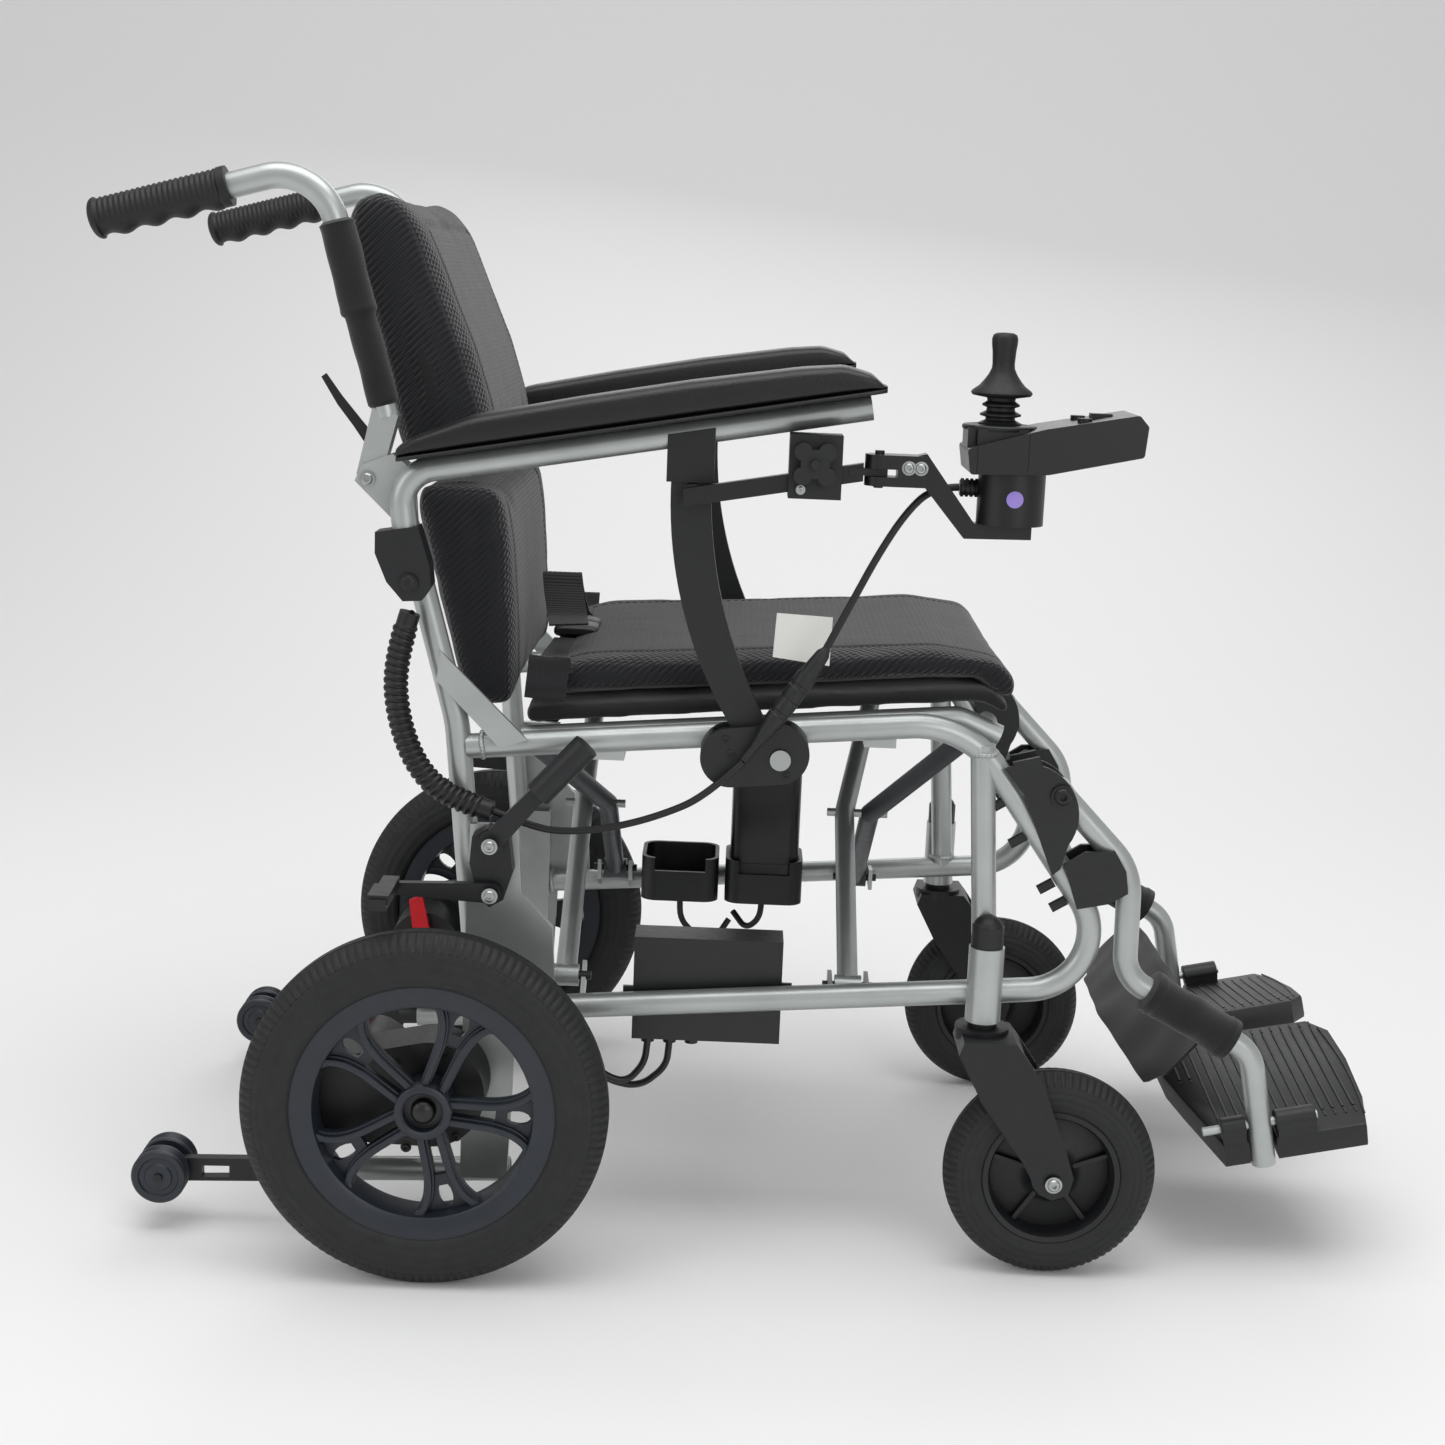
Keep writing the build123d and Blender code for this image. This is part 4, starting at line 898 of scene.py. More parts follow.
for word, side in SIDES:
    data = bmesh.new()
    rail = Vector((1, 0, 0.087))
    leg = Vector((0.066, 0, -0.998))
    weld(data, at(-3, 213, 468, side) + Vector((0.037, 0, -0.008)), rail, 11.0)
    weld(data, at(473.6, 213, 470, side), leg, 11.0)
    weld(data, at(486.0, 213, 264.5, side), leg, 11.0)
    weld(data, at(64, 213, 219, side), rail, 11.0)
    weld(data, at(40, 213, 74, side), Vector((0, 0, 1)), 15.0, 2.0, 34)
    for x in (144.0, 382.0):
        z = 458 + 0.08696 * (x - 34)
        weld(data, at(x, 197, z - 10, side), Vector((0, side, 0.35)), 9.5, 1.5)
    piece(word + "_weld_beads", data, silver, word + "_frame", 60)
print("weld beads made")


# %% Screws and caps
def screw(data, x, out, z, side, radius=6.0, high=3.4, recess=True):
    """A domed screw head facing out, with a socket."""
    profile = [(radius * 1.35, 0), (radius * 1.35, 0.8), (radius, 0.9), (radius, high * 0.55),
               (radius * 0.8, high * 0.9), (radius * 0.5, high)]
    if recess:
        profile += [(radius * 0.42, high * 0.98), (radius * 0.40, high * 0.35)]
    spin_open(data, at(x, out, z, side), Vector((0, -side, 0)), profile, 24)


for word, side in SIDES:
    data = bmesh.new()
    screw(data, 47, 268, 382, side, 5.2)
    screw(data, 48, 268, 338, side, 5.2)
    screw(data, -67, 228.5, 690, side, 5.0, 3.0)
    piece(word + "_frame_screws", data, zinc, word + "_frame")
    data = bmesh.new()
    screw(data, 542, 231, 438, side, 7.5, 4.5)
    screw(data, -27, 256, 606, side, 6.0, 2.6, False)
    for x, z in ((251, 470), (300, 452), (246, 482)):
        screw(data, x, 256, z, side, 2.6, 1.4)
    for x, z in ((-30, 188), (12, 199), (-88, 120), (-20, 110), (24, 122), (-100, 170)):
        screw(data, x, 280, z, side, 3.6, 3.0)
    piece(word + "_black_screws", data, powder, word + "_frame")
    data = bmesh.new()
    screw(data, 210, 247, 692, side, 8.0, 4.0)
    screw(data, 208, 247, 712, side, 3.6, 2.0)
    piece(word + "_strut_screws", data, powder, word + "_armrest")
    data = bmesh.new()
    screw(data, 552, 272, 95, side, 5.6, 4.0)
    piece(word + "_caster_axle_nut", data, zinc, word + "_caster_fork")
print("screws set")

# %% [markdown]
# ## Grips
# The hand grips are a soft rubber sleeve. Its top is finely ribbed across, its underside has four
# finger waves, and it ends in a rounded cap. All of that is one skin: rings along the tube whose
# radius depends on how far along they are and which way they face.

# %% Push handle grips
GRIP_LENGTH = 122.0
RIB_SPACING = 4.7
WAVE_SPACING = 27.0


def grip_radius(along, down):
    """Radius in mm; down is 1 underneath and -1 on top."""
    if along < 7:
        return 17.0
    if along > GRIP_LENGTH - 9:
        t = (along - GRIP_LENGTH + 9) / 9
        return 17.6 * math.sqrt(max(0.02, 1 - t ** 2.6))
    rib = 0.6 * math.cos(2 * math.pi * along / RIB_SPACING) * min(1.0, max(0.0, 0.55 - down) * 2.5)
    wave = 3.6 * (0.5 + 0.5 * math.cos(2 * math.pi * (along - 13) / WAVE_SPACING)) - 1.6
    return 16.0 + rib + wave * max(0.0, down) ** 1.5


slope = math.hypot(190, 53)
along_x, along_z = -190 / slope, -53 / slope
cap_x, cap_z = -300 + 4 * along_x, 897 + 4 * along_z
for word, side in SIDES:
    data = bmesh.new()
    rows = []
    count = 160
    for i in range(count + 1):
        travel = GRIP_LENGTH * i / count
        x = cap_x - (GRIP_LENGTH - travel) * along_x
        z = cap_z - (GRIP_LENGTH - travel) * along_z
        row = []
        for k in range(40):
            t = 2 * math.pi * k / 40
            r = grip_radius(travel, math.cos(t))
            row.append(data.verts.new(at(x - along_z * r * math.cos(t), 213 + r * math.sin(t),
                                         z + along_x * r * math.cos(t), side)))
        rows.append(row)
    quads(data, rows)
    data.faces.new(rows[0])
    data.faces.new(rows[-1])
    made = piece(word + "_ribbed_grip", data, grip_rubber, word + "_push_handle", 50)
    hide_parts(word + "_handle_grip")
print("grips:", int(GRIP_LENGTH / RIB_SPACING), "ribs each")

# %% [markdown]
# ## Padded fabric
# A pad starts as a block slightly smaller than it will be. Voxel remeshing gives it an even skin,
# cloth pressure puffs it like foam under a tight cover, and a cap on the movement keeps it in
# shape. Seams come last, as narrow grooves pressed in along lines, since remeshing would lose them.


# %% Block, puff and seams
def inset(outline, depth):
    """A closed outline moved inwards by depth mm."""
    area = sum(ax * bz - bx * az for (ax, az), (bx, bz) in zip(outline, outline[1:] + outline[:1]))
    turn = 1 if area > 0 else -1
    made = []
    for i, (x, z) in enumerate(outline):
        ax, az = outline[i - 1]
        bx, bz = outline[(i + 1) % len(outline)]
        u = Vector((x - ax, z - az)).normalized()
        v = Vector((bx - x, bz - z)).normalized()
        mid = (Vector((-u.y, u.x)) + Vector((-v.y, v.x))).normalized()
        stretch = min(2.0, 1 / max(0.3, mid.dot(Vector((-u.y, u.x)))))
        made.append((x + turn * mid.x * depth * stretch, z + turn * mid.y * depth * stretch))
    return made


def baked(target):
    """The object's mesh with its modifiers applied."""
    graph = bpy.context.evaluated_depsgraph_get()
    graph.update()
    mesh = bpy.data.meshes.new_from_object(target.evaluated_get(graph))
    target.modifiers.clear()
    target.data = mesh
    return target


def soft_block(name, outline, half_width, shrink, voxel_mm, round_mm=9.0):
    data = bmesh.new()
    shape = inset(outline, shrink)
    near = [data.verts.new(at(x, half_width - shrink, z)) for x, z in shape]
    far = [data.verts.new(at(x, shrink - half_width, z)) for x, z in shape]
    quads(data, [near, far])
    data.faces.new(near)
    data.faces.new(far)
    bmesh.ops.recalc_face_normals(data, faces=data.faces)
    mesh = bpy.data.meshes.new(name)
    data.to_mesh(mesh)
    data.free()
    made = bpy.data.objects.new(name, mesh)
    bpy.context.scene.collection.objects.link(made)
    bevel = made.modifiers.new("round", "BEVEL")
    bevel.width, bevel.segments, bevel.limit_method = round_mm * MM, 3, "ANGLE"
    remesh = made.modifiers.new("skin", "REMESH")
    remesh.mode, remesh.voxel_size = "VOXEL", voxel_mm * MM
    relax = made.modifiers.new("relax", "SMOOTH")
    relax.factor, relax.iterations = 0.5, 5
    return baked(made)


def puff(target, cap_mm, pressure=4.0, frames=20):
    """Cloth pressure, with each point's travel held to cap_mm."""
    before = [v.co.copy() for v in target.data.vertices]
    cloth_mod = target.modifiers.new("fill", "CLOTH")
    settings = cloth_mod.settings
    settings.quality = 5
    settings.use_pressure = True
    settings.uniform_pressure_force = pressure
    settings.effector_weights.gravity = 0.0
    cloth_mod.collision_settings.use_collision = False
    for number in range(1, frames + 1):
        bpy.context.scene.frame_set(number)
    graph = bpy.context.evaluated_depsgraph_get()
    after = [v.co.copy() for v in target.evaluated_get(graph).data.vertices]
    target.modifiers.clear()
    bpy.context.scene.frame_set(1)
    for vertex, a, b in zip(target.data.vertices, before, after):
        step = b - a
        vertex.co = a + step * min(1.0, cap_mm * MM / max(step.length, 1e-9))
    target.data.update()


def press_seams(target, seams, depth_mm, width_mm, wrinkle_mm=0.5):
    """Presses grooves along seams, each a distance function in mm, and adds faint wrinkles."""
    from mathutils import noise
    split = target.modifiers.new("fine", "SUBSURF")
    split.levels = split.render_levels = 1
    baked(target)
    normals = [vertex.normal.copy() for vertex in target.data.vertices]
    for vertex, normal in zip(target.data.vertices, normals):
        x, out, z = workshop(vertex.co)
        near = min(abs(seam(x, out, z)) for seam in seams)
        sink = depth_mm * math.exp(-(near / width_mm) ** 2)
        ripple = wrinkle_mm * noise.noise(vertex.co * 22.0) + 0.4 * wrinkle_mm * noise.noise(vertex.co * 70.0)
        vertex.co += normal * (ripple - sink) * MM
    target.data.update()


def cover(target, materials, rule, body, joint=None):
    """Fabric, smooth shading, the body it rides on, and, given a joint, a mesh of its own."""
    target.data.materials.clear()
    for one in materials:
        target.data.materials.append(one)
    for face in target.data.polygons:
        face.material_index = rule(*workshop(face.center)) if rule else 0
        face.use_smooth = True
    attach(target, body)
    if joint:
        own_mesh(target)
    return target


# %% Seat cushion and the sling under it
SEAT_BORDER = 152.0
cushion = soft_block("seat_cushion_pad", [(68, 496), (120, 502), (430, 527), (468, 526), (497, 503), (508, 510),
                                          (509, 530), (492, 547), (430, 555), (120, 535), (68, 520)],
                     200, 4.5, 6.0)
puff(cushion, 5.0)
press_seams(cushion, [lambda x, out, z: out - SEAT_BORDER if x > 96 else 99,
                      lambda x, out, z: x - 96 if out < SEAT_BORDER else 99,
                      lambda x, out, z: z - 508 - 0.072 * (x - 68) if out > 190 and x < 470 else 99],
            2.2, 3.0)
cover(cushion, [centre_mesh, border_mesh, cloth],
      lambda x, out, z: 2 if z < 507 + 0.072 * (x - 68) and x < 480 else int(out > SEAT_BORDER or x < 96),
      "seat", "frame_fold")
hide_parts("seat_cushion")
sling = soft_block("seat_sling", [(68, 476), (440, 509), (474, 510), (492, 500), (500, 508), (478, 526),
                                  (430, 524), (68, 493)], 198.5, 1.0, 5.0, 4.0)
press_seams(sling, [lambda x, out, z: out - 172, lambda x, out, z: out - 166], 0.9, 1.6, 1.2)
cover(sling, [cloth], None, "seat", "frame_fold")
print("seat cushion", len(cushion.data.vertices), "points")

# %% Back rest: the folding upper half and the fixed lower half
BACK_BORDER = 148.0
upper_pad = soft_block("back_rest_upper", [(-42, 695), (-99, 905), (-92, 930), (-62, 937), (-43, 925),
                                           (-29, 905), (-8, 855), (15, 799), (30, 752), (42, 695)],
                       197, 5.0, 6.5, 12.0)
puff(upper_pad, 5.0)
press_seams(upper_pad, [lambda x, out, z: out - BACK_BORDER if z < 905 else 99,
                        lambda x, out, z: z - 905 if out < BACK_BORDER else 99,
                        lambda x, out, z: x + 68 + 0.27 * (z - 700) if out > 150 else 99], 2.4, 3.2)
lower_pad = soft_block("back_rest_lower", [(-40, 688), (43, 688), (52, 635), (58, 560), (60, 500), (58, 484),
                                           (16, 484), (10, 492), (-14, 580)], 197, 5.0, 6.5, 10.0)
puff(lower_pad, 4.0)
press_seams(lower_pad, [lambda x, out, z: out - BACK_BORDER], 2.4, 3.2)
for pad, body, node in ((upper_pad, "right_push_handle", "back_pad_upper"),
                        (lower_pad, "right_frame", "back_pad_lower")):
    cover(pad, [centre_mesh, border_mesh, cloth],
          lambda x, out, z: 2 if out > 190 and x < 6 - 0.27 * (z - 700)
          else int(out > BACK_BORDER or z > 905),
          body, "frame_fold")
    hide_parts(node)
print("back rest", len(upper_pad.data.vertices) + len(lower_pad.data.vertices), "points")

# %% [markdown]
# The upper pad hangs on the posts by sewn sleeves. A sleeve is a slightly loose tube of plain
# cloth with a hem half-way, where an outer layer ends, so its radius steps there.

# %% Post sleeves
for word, side in SIDES:
    data = bmesh.new()
    rows = []
    for i in range(64):
        travel = 10 + 158 * i / 63
        x, z = -53 - 0.2643 * travel, 742 + 0.9644 * travel
        radius = 13.2 if z < 829 else 15.0
        radius += 0.8 * math.exp(-((z - 831) / 3) ** 2) + 0.6 * math.exp(-((z - 903) / 3) ** 2)
        if i in (0, 63):
            radius = 11.3
        row = []
        for k in range(36):
            t = 2 * math.pi * k / 36
            loose = 0.35 * math.sin(3 * t + z / 17) + 0.25 * math.sin(z / 6.0 + 2 * t)
            r = radius + (loose if 0 < i < 63 else 0)
            row.append(data.verts.new(at(x + 0.9644 * r * math.cos(t), 213 + r * math.sin(t),
                                         z + 0.2643 * r * math.cos(t), side)))
        rows.append(row)
    quads(data, rows)
    data.faces.new(rows[0])
    data.faces.new(rows[-1])
    sleeve = piece(word + "_post_sleeve", data, cloth, word + "_push_handle", 60)
print("sleeves made")

# %% [markdown]
# ## Armrest pads
# Each pad is a thin moulded plate on the tube with grained vinyl stretched over foam. The vinyl
# crowns towards the middle and rolls under at its ends. Sections across the pad, skinned from
# end to end, give that roll directly.


# %% Armrest pads
def arm_top(x):
    return 768 + 0.1793 * (x - 358) + 11.4


def pad_height(x):
    """Height of the vinyl's ridge above the floor."""
    stations = [(-36, 726), (26, 751), (117, 770), (208, 787), (298, 801), (332, 804), (356, 798), (368, 788)]
    for (ax, az), (bx, bz) in zip(stations, stations[1:]):
        if x <= bx:
            t = (x - ax) / (bx - ax)
            return az + (bz - az) * t
    return stations[-1][1]


for word, side in SIDES:
    for part, material, low, grow in (("plate", nylon, 0.3, 0.8), ("vinyl", vinyl, 4.6, 0.0)):
        data = bmesh.new()
        rows = []
        for i in range(61):
            s = i / 60
            x = -36 + 404 * (0.5 - 0.5 * math.cos(math.pi * s))
            end = min(1.0, (x + 36.8) / 18, (368.8 - x) / 20)
            half = (24.6 + grow) * (0.62 + 0.38 * math.sqrt(max(0.0, 1 - (1 - end) ** 2)))
            bottom = arm_top(x) + low
            top = arm_top(x) + 5.0 if part == "plate" else max(bottom + 3.0, pad_height(x) - 1.0)
            if part == "vinyl":
                top = bottom + (top - bottom) * (0.45 + 0.55 * math.sqrt(max(0.0, 1 - (1 - end) ** 2)))
            row = []
            for k in range(28):
                t = 2 * math.pi * k / 28
                cu, cv = math.cos(t), math.sin(t)
                power = 0.5 if part == "plate" else (0.62 if cv > 0 else 0.4)
                u = math.copysign(abs(cu) ** power, cu) * half
                v = math.copysign(abs(cv) ** power, cv)
                middle, tall = (top + bottom) / 2, (top - bottom) / 2
                row.append(data.verts.new(at(x, 256.5 + u, middle + v * tall, side)))
            rows.append(row)
        quads(data, rows)
        data.faces.new(rows[0])
        data.faces.new(rows[-1])
        made = piece(word + "_armrest_" + part, data, material, word + "_armrest", 60)
        if part == "vinyl":
            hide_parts(word + "_armrest_pad")
print("armrest pads made")

# %% [markdown]
# ## Joystick
# The stick is a rubber boot on a post. From the bottom it has three thin bellows, a wide skirt
# that sheds rain, a waist and a knob that flares a little to a rounded top. One lathe profile of
# radius and height makes it all. The housing keeps its CAD shape.

# %% Stick, collar and housing
STICK_X, STICK_OUT, STICK_Z = 463, 262, 745
data = bmesh.new()
boot = [(12, 13), (17.5, 14), (18, 15.5), (12.5, 18), (12, 20), (17, 21.5), (17, 23), (12, 25.5), (11.5, 28),
        (15.5, 29.5), (15.5, 31), (11.5, 33.5), (12, 36), (24, 38), (25.5, 40), (24.5, 42), (19, 46),
        (15.5, 50), (12, 55), (9.6, 60), (9.2, 64), (9.8, 74), (10.6, 80), (10.8, 84), (9.8, 87.4),
        (7, 89), (0.5, 89.4)]
spin_open(data, at(STICK_X, STICK_OUT, STICK_Z), Vector((0, 0, 1)), boot, 56)
stick = piece("joystick_boot", data, grip_rubber, "joystick_stick", 50)
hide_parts("joystick_stick")
data = bmesh.new()
spin_open(data, at(STICK_X, STICK_OUT, 755), Vector((0, 0, 1)),
          [(21.5, 0), (30.5, 0), (31, 1), (31, 3), (30, 4), (22, 4.6), (21, 3.8)], 56)
piece("joystick_collar", data, nylon, "joystick", 40)
dress("joystick_housing", [abs_shell], bevel_mm=1.0)
data = bmesh.new()
for k in range(4):
    spin_open(data, at(434.5 + 4 * k, 250, 705), Vector((1, 0, 0)), [(6.5, 0), (7.8, 0.5), (7.8, 2.6), (6.5, 3)], 28)
piece("cable_gland_ribs", data, nylon, "joystick", 40)
data = bmesh.new()
spin_open(data, at(476, 290.2, 700), Vector((0, -1, 0)), [(7, 0), (7, 0.5), (6.5, 0.8), (0.5, 0.8)], 32)
piece("blank_type_dot", data, lilac, "joystick", 40)
data = bmesh.new()
for x in (389, 399):
    screw(data, x, 274, 721, RIGHT, 4.4, 3.4)
screw(data, 300, 277, 700, RIGHT, 3.0, 1.6)
piece("joystick_bracket_bolts", data, zinc, "joystick", 40)
print("joystick stands", round(STICK_Z + 89.4), "mm high")

# %% [markdown]
# ## Footplates
# Each plate is moulded with a rounded rim and long ribs across it that stop shoes sliding. The
# ribs are raised strips on the tread. They sit in the plate's own plane, tilted twice: the whole
# plate leans back and its inner edge is a little lower, so one function turns local mm to place.


# %% Footplates
def tread(u, v, w, side):
    """Local plate mm (u forward, v inboard, w up) to the frame."""
    tilt, pitch = math.radians(10), math.radians(12)
    v2, w2 = v * math.cos(tilt) - w * math.sin(tilt), v * math.sin(tilt) + w * math.cos(tilt)
    u3, w3 = u * math.cos(pitch) - w2 * math.sin(pitch), u * math.sin(pitch) + w2 * math.cos(pitch)
    return at(744 + u3, 213 - v2, 138 + w3, side)


def strip(data, line, half, low, high, side):
    """A raised strip along (u, v) points with sloped flanks."""
    rows = []
    for k, (u, v) in enumerate(line):
        au, av = line[max(0, k - 1)]
        bu, bv = line[min(len(line) - 1, k + 1)]
        long = math.hypot(bu - au, bv - av)
        nu, nv = -(bv - av) / long, (bu - au) / long
        shape = [(-half, low), (-half * 0.6, high), (half * 0.6, high), (half, low)]
        rows.append([data.verts.new(tread(u + nu * s, v + nv * s, w, side)) for s, w in shape])
    quads(data, rows)
    data.faces.new(rows[0])
    data.faces.new(rows[-1])


OUTLINE = [(-36, -9), (-12.5, -9), (-12.5, 14), (12.5, 14), (12.5, -9), (94, -9), (104, 40), (108, 106),
           (106, 160), (90, 184), (-58, 188), (-66, 178), (-64, 120), (-56, 80)]
for word, side in SIDES:
    data = bmesh.new()
    rows = []
    for shrink, w in ((2.5, -36), (0.6, -35), (0, -32), (0, -15.5), (0.8, -13), (2.8, -12)):
        rows.append([data.verts.new(tread(u, v, w, side)) for u, v in inset(OUTLINE, shrink)])
    quads(data, rows)
    data.faces.new(rows[0])
    data.faces.new(rows[-1])
    for u0, u1 in ((-36, -13.5), (13.5, 50)):
        start = tread(u0, 0, 0, side)
        axis = (tread(u1, 0, 0, side) - start).normalized()
        spin_open(data, start, axis, [(7, 0), (9.4, 0.3), (10, 1.2), (10, u1 - u0 - 1.2), (9.4, u1 - u0 - 0.3),
                                      (7, u1 - u0)], 36)
        block = [data.verts.new(tread(u, v, w, side)) for w in (-13, -2)
                 for u, v in ((u0 + 1, -9), (u1 - 1, -9), (u1 - 1, 10 + w * 0.2), (u0 + 1, 10 + w * 0.2))]
        quads(data, [block[:4], block[4:]])
        data.faces.new(block[4:])
    for k in range(16):
        u = -50 + 9.4 * k
        if u < 96:
            strip(data, [(u, 24 if u > -40 else 110), (u, 168)], 1.5, -12.2, -10.9, side)
            strip(data, [(u, 172), (u, 179)], 1.1, -12.2, -11.2, side)
            strip(data, [(u, 13 if u > 14 else 104), (u, 20 if u > 14 else 107)], 1.1, -12.2, -11.2, side)
    strip(data, [(97 + 5 * math.sin(math.pi * k / 24), 8 + 6.6 * k) for k in range(25)], 1.0, -12.2, -11.0, side)
    made = piece(word + "_ribbed_footplate", data, nylon, word + "_footplate", 30)
    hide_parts(word + "_footplate")
print("footplates made")

# %% [markdown]
# ## Calf strap, lap belt, battery and rear wheels
# The calf strap is a wide cloth panel that hangs behind the legs from two sewn sleeves, with a
# doubled hem. The lap belt is ribbed webbing that comes over the cushion's edge, and its loose
# end stands up in a fold.


# %% Calf strap
def strap_sleeve(data, side):
    start = Vector((611, 0, 272))
    end = Vector((730, 0, 205))
    run = (end - start).normalized()
    rows = []
    for i in range(40):
        travel = 24 + 92 * i / 39
        spot = start + run * travel
        radius = 18.6 + (1.3 if i < 5 or i > 34 else 0) + 0.5 * math.sin(travel / 5)
        radius = 12.0 if i in (0, 39) else radius
        row = []
        for k in range(36):
            t = 2 * math.pi * k / 36
            r = radius + 0.5 * math.sin(3 * t + travel / 9)
            row.append(data.verts.new(at(spot.x - run.z * r * math.cos(t), 213 + r * math.sin(t),
                                         spot.z + run.x * r * math.cos(t), side)))
        rows.append(row)
    quads(data, rows)
    data.faces.new(rows[0])
    data.faces.new(rows[-1])


def hanging(u, v):
    """Place on the strap: u across from right 1 to left -1, v down from 0 to 1."""
    wave = 2.2 * math.sin(9 * u + 3 * v) + 1.4 * math.sin(17 * u - 5 * v)
    x = 648 + 44 * (1 - v) - 22 * (1 - u * u) * v + wave * 0.5
    return x, 190 * u, 231 - 0.5 * (x - 648) - 74 * v + 7 * (1 - u * u)


data = bmesh.new()
for side in (RIGHT, LEFT):
    strap_sleeve(data, side)
piece_sleeves = piece("calf_strap_sleeves", data, cloth, "right_legrest", 60)
data = bmesh.new()
front, back = [], []
for j in range(25):
    v = j / 24
    line_front, line_back = [], []
    for i in range(61):
        u = -1 + 2 * i / 60
        squeeze = 1 - 0.10 * max(0.0, v - 0.7) / 0.3
        x, across_mm, z = hanging(u, v)
        thick = 2.2 if v < 0.08 or v > 0.92 else 1.5
        line_front.append(data.verts.new(at(x + thick, across_mm * squeeze, z)))
        line_back.append(data.verts.new(at(x - thick, across_mm * squeeze, z - 0.6)))
    front.append(line_front)
    back.append(line_back)
quads(data, front, closed_rows=False)
quads(data, back, closed_rows=False)
edge_front = front[0] + [r[-1] for r in front[1:]] + front[-1][-2::-1] + [r[0] for r in front[-2:0:-1]]
edge_back = back[0] + [r[-1] for r in back[1:]] + back[-1][-2::-1] + [r[0] for r in back[-2:0:-1]]
quads(data, [edge_front, edge_back])
strap = piece("calf_strap_panel", data, cloth, "right_legrest", 60)
for soft in (piece_sleeves, strap):
    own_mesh(soft)
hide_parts("calf_strap")
print("calf strap made")

# %% Lap belt
from mathutils.bvhtree import BVHTree

graph = bpy.context.evaluated_depsgraph_get()
seat_surface = BVHTree.FromObject(cushion, graph)


def seat_top(x, out, side):
    """Height of the cushion's cover above the floor, in mm, or None beside it."""
    above_seat = at(x, out, 700, side)
    spot, _, _, _ = seat_surface.ray_cast(above_seat, Vector((0, 0, -1)), 0.3)
    return spot.z / MM if spot is not None else None


def ribbed_belt(name, line, width, body, side):
    """Webbing along a line of (x, out, z): a flat strip 1.6 mm thick with ribs along it."""
    data = bmesh.new()
    centres = smooth_line([at(*p, side) for p in line], 10)
    rows = []
    for k, centre in enumerate(centres):
        run = (centres[min(len(centres) - 1, k + 1)] - centres[max(0, k - 1)]).normalized()
        wide = Vector((1, 0, 0)) - run * run.x
        wide.normalize()
        thick = run.cross(wide)
        row = []
        for j in range(17):
            u = -1 + j / 8
            row.append(data.verts.new(centre + wide * u * width / 2 * MM + thick * (0.8 + 0.22 * (j % 2)) * MM))
        for j in range(16, -1, -1):
            u = -1 + j / 8
            row.append(data.verts.new(centre + wide * u * width / 2 * MM - thick * (0.8 + 0.22 * (j % 2)) * MM))
        rows.append(row)
    quads(data, rows)
    data.faces.new(rows[0])
    data.faces.new(rows[-1])
    made = piece(name, data, webbing, body, 50)
    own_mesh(made)
    return made


for word, side in SIDES:
    route = [(86, 201.5, 500), (88, 203.5, 520), (90, 202, 538)]
    for out in (188, 160, 130, 100, 70, 45):
        x = 90 + (188 - out) * 0.06
        route.append((x, out, (seat_top(x, out, side) or 545) + 2.4))
    belt = ribbed_belt(word + "_lap_belt", route, 36, "seat", side)
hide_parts("lap_belt")
fold = [(100, 40, 552), (96, 62, 560), (92, 76, 580), (90, 84, 597), (92, 92, 583), (97, 106, 562), (100, 124, 555)]
tail = ribbed_belt("belt_tail", fold, 36, "seat", RIGHT)
data = bmesh.new()
rows = []
for out, grow in ((-34, 0.4), (-31, 0.9), (-4, 1.0), (-2, 0.8), (0, 0.8), (2, 1.0), (30, 1.0), (34, 0.45)):
    row = []
    for k in range(24):
        t = 2 * math.pi * k / 24
        u = math.copysign(abs(math.cos(t)) ** 0.5, math.cos(t)) * 21 * (0.85 + 0.15 * grow)
        v = math.copysign(abs(math.sin(t)) ** 0.6, math.sin(t)) * 6.0 * grow
        row.append(data.verts.new(at(100 + u, out, (seat_top(100, 5, RIGHT) or 550) + 8 + v)))
    rows.append(row)
quads(data, rows)
data.faces.new(rows[0])
data.faces.new(rows[-1])
buckle = piece("belt_buckle", data, nylon, "seat", 40, 0.6)
for soft in (buckle,):
    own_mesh(soft)
print("belt made")

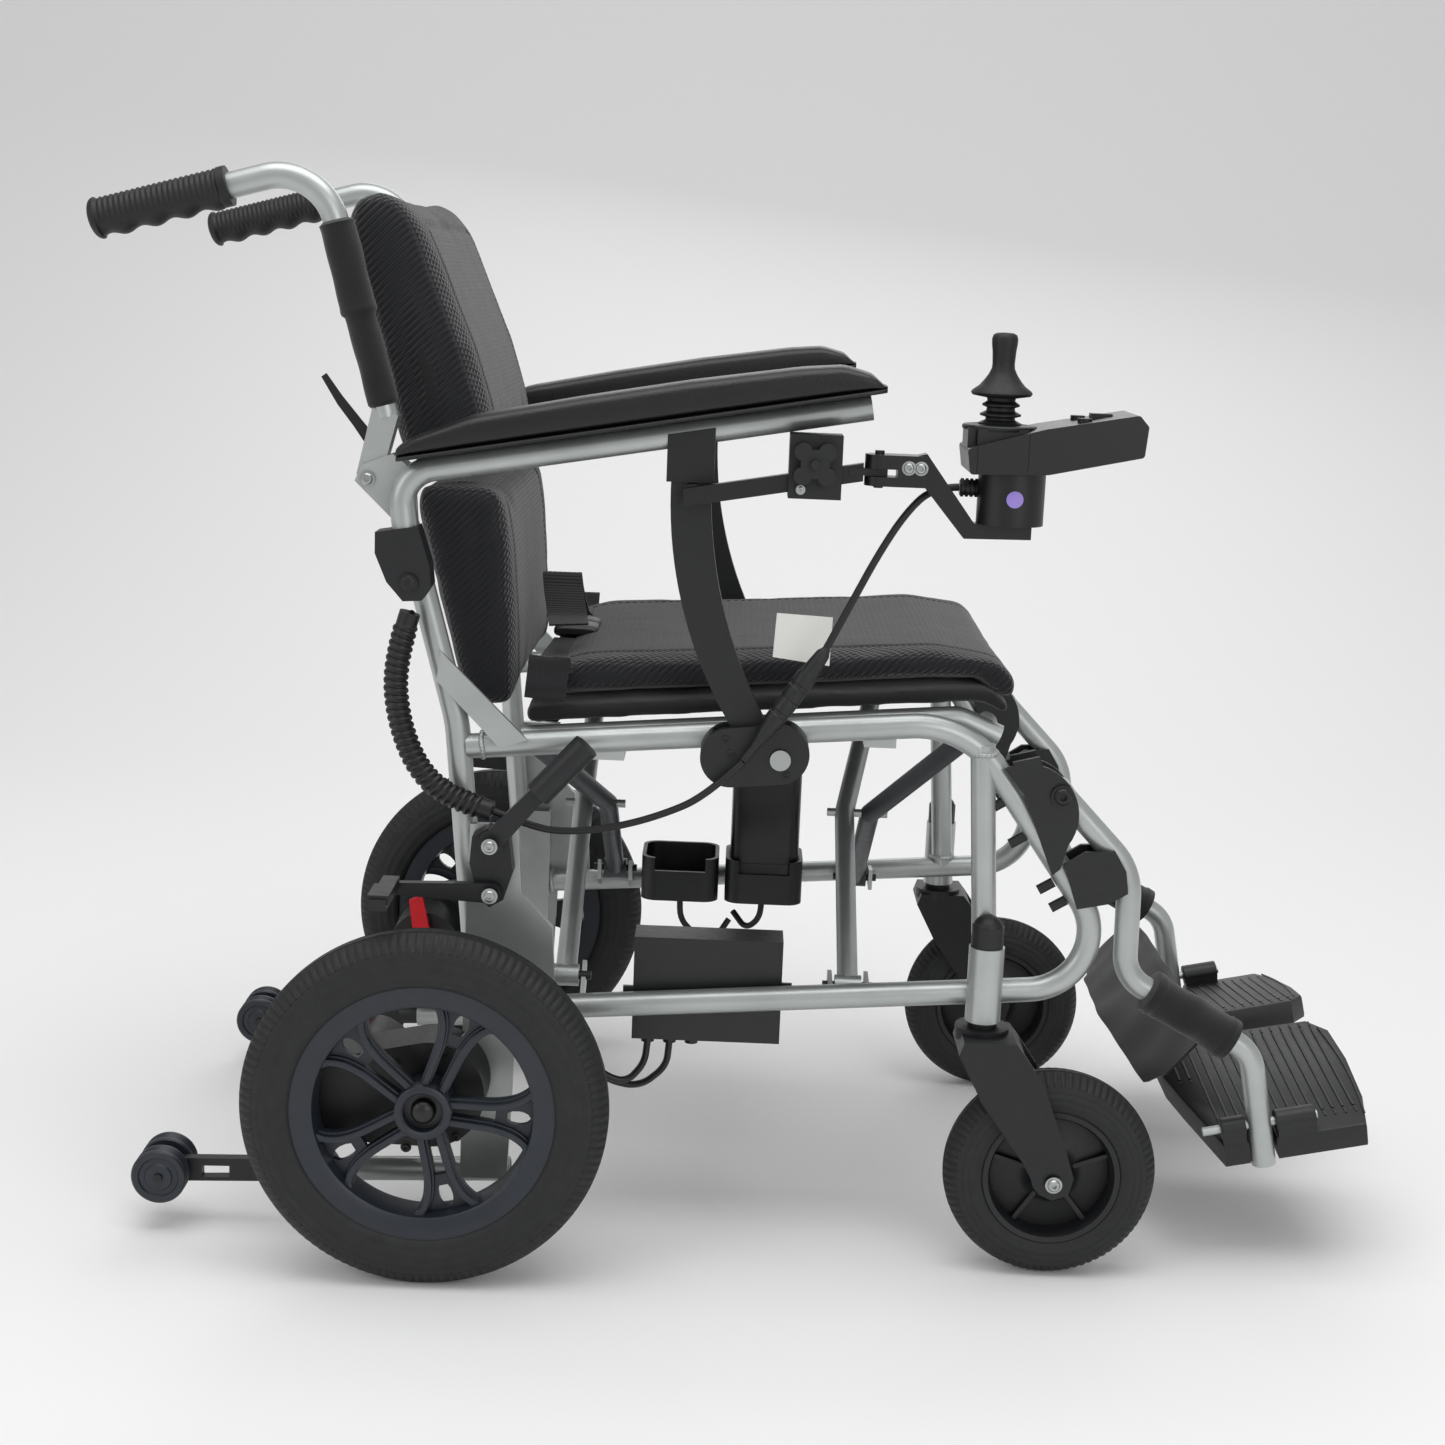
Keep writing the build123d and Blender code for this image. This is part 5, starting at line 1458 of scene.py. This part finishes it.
# %% Rear anti-tip wheels, battery, levers and the blank tag
for word, side in SIDES:
    data = bmesh.new()
    for out0, out1 in ((188, 207), (219, 238)):
        wide = out1 - out0
        profile = [(4.2, out0), (12, out0), (13, out0 + 1.2), (17.5, out0 + 1.8), (18.5, out0 + 0.4),
                   (23.5, out0 + 0.4), (25, out0 + 2)]
        profile += [(25 - 0.9 * (k % 2), out0 + 4 + (wide - 8) * k / 8) for k in range(9)]
        profile += [(25, out1 - 2), (23.5, out1 - 0.4), (18.5, out1 - 0.4), (17.5, out1 - 1.8), (13, out1 - 1.2),
                    (12, out1), (4.2, out1)]
        spin(data, -250, 53, profile, side)
    made = piece(word + "_antitip_rollers", data, slate, word + "_antitip_wheels", 32)
    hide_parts(word + "_antitip_wheels")
    dress(word + "_brake_lever", [nylon], bevel_mm=1.4)

battery_low, battery_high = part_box("battery_pack")
middle_x = (battery_low.x + battery_high.x) / 2
middle_y = (battery_low.y + battery_high.y) / 2
half_x = (battery_high.x - battery_low.x) / 2 / MM
half_y = (battery_high.y - battery_low.y) / 2 / MM
data = bmesh.new()
rows = []
levels = [(0, 0.94), (2, 1.0), (34, 1.0), (36, 0.975), (38, 1.0)]
tall = (battery_high.z - battery_low.z) / MM
levels += [(tall - 22, 1.0), (tall - 20, 0.97), (tall - 18, 1.0), (tall - 4, 1.0), (tall - 1, 0.96), (tall, 0.9)]
for up, grow in levels:
    row = []
    for k in range(96):
        t = 2 * math.pi * (k + 0.5) / 96
        cu = math.copysign(abs(math.cos(t)) ** 0.3, math.cos(t))
        cv = math.copysign(abs(math.sin(t)) ** 0.3, math.sin(t))
        groove = 0.985 if 38 < up < tall - 22 and k % 4 == 0 else 1.0
        row.append(data.verts.new(Vector((middle_x + cu * half_x * grow * groove * MM,
                                          middle_y + cv * half_y * grow * groove * MM,
                                          battery_low.z + up * MM))))
    rows.append(row)
quads(data, rows)
data.faces.new(rows[0])
data.faces.new(rows[-1])
battery = piece("battery_case", data, abs_shell, "battery", 32)
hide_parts("battery_pack")
data = bmesh.new()
for k in range(2):
    low = at(294, 232 + k * 0.5, 548)
    plate(data, [(284, 552), (333, 546), (334, 588), (286, 590)], 234 + 1.4 * k, 234.9 + 1.4 * k)
tag = piece("blank_tag", data, label, "right_frame", 30)
print("small parts made")
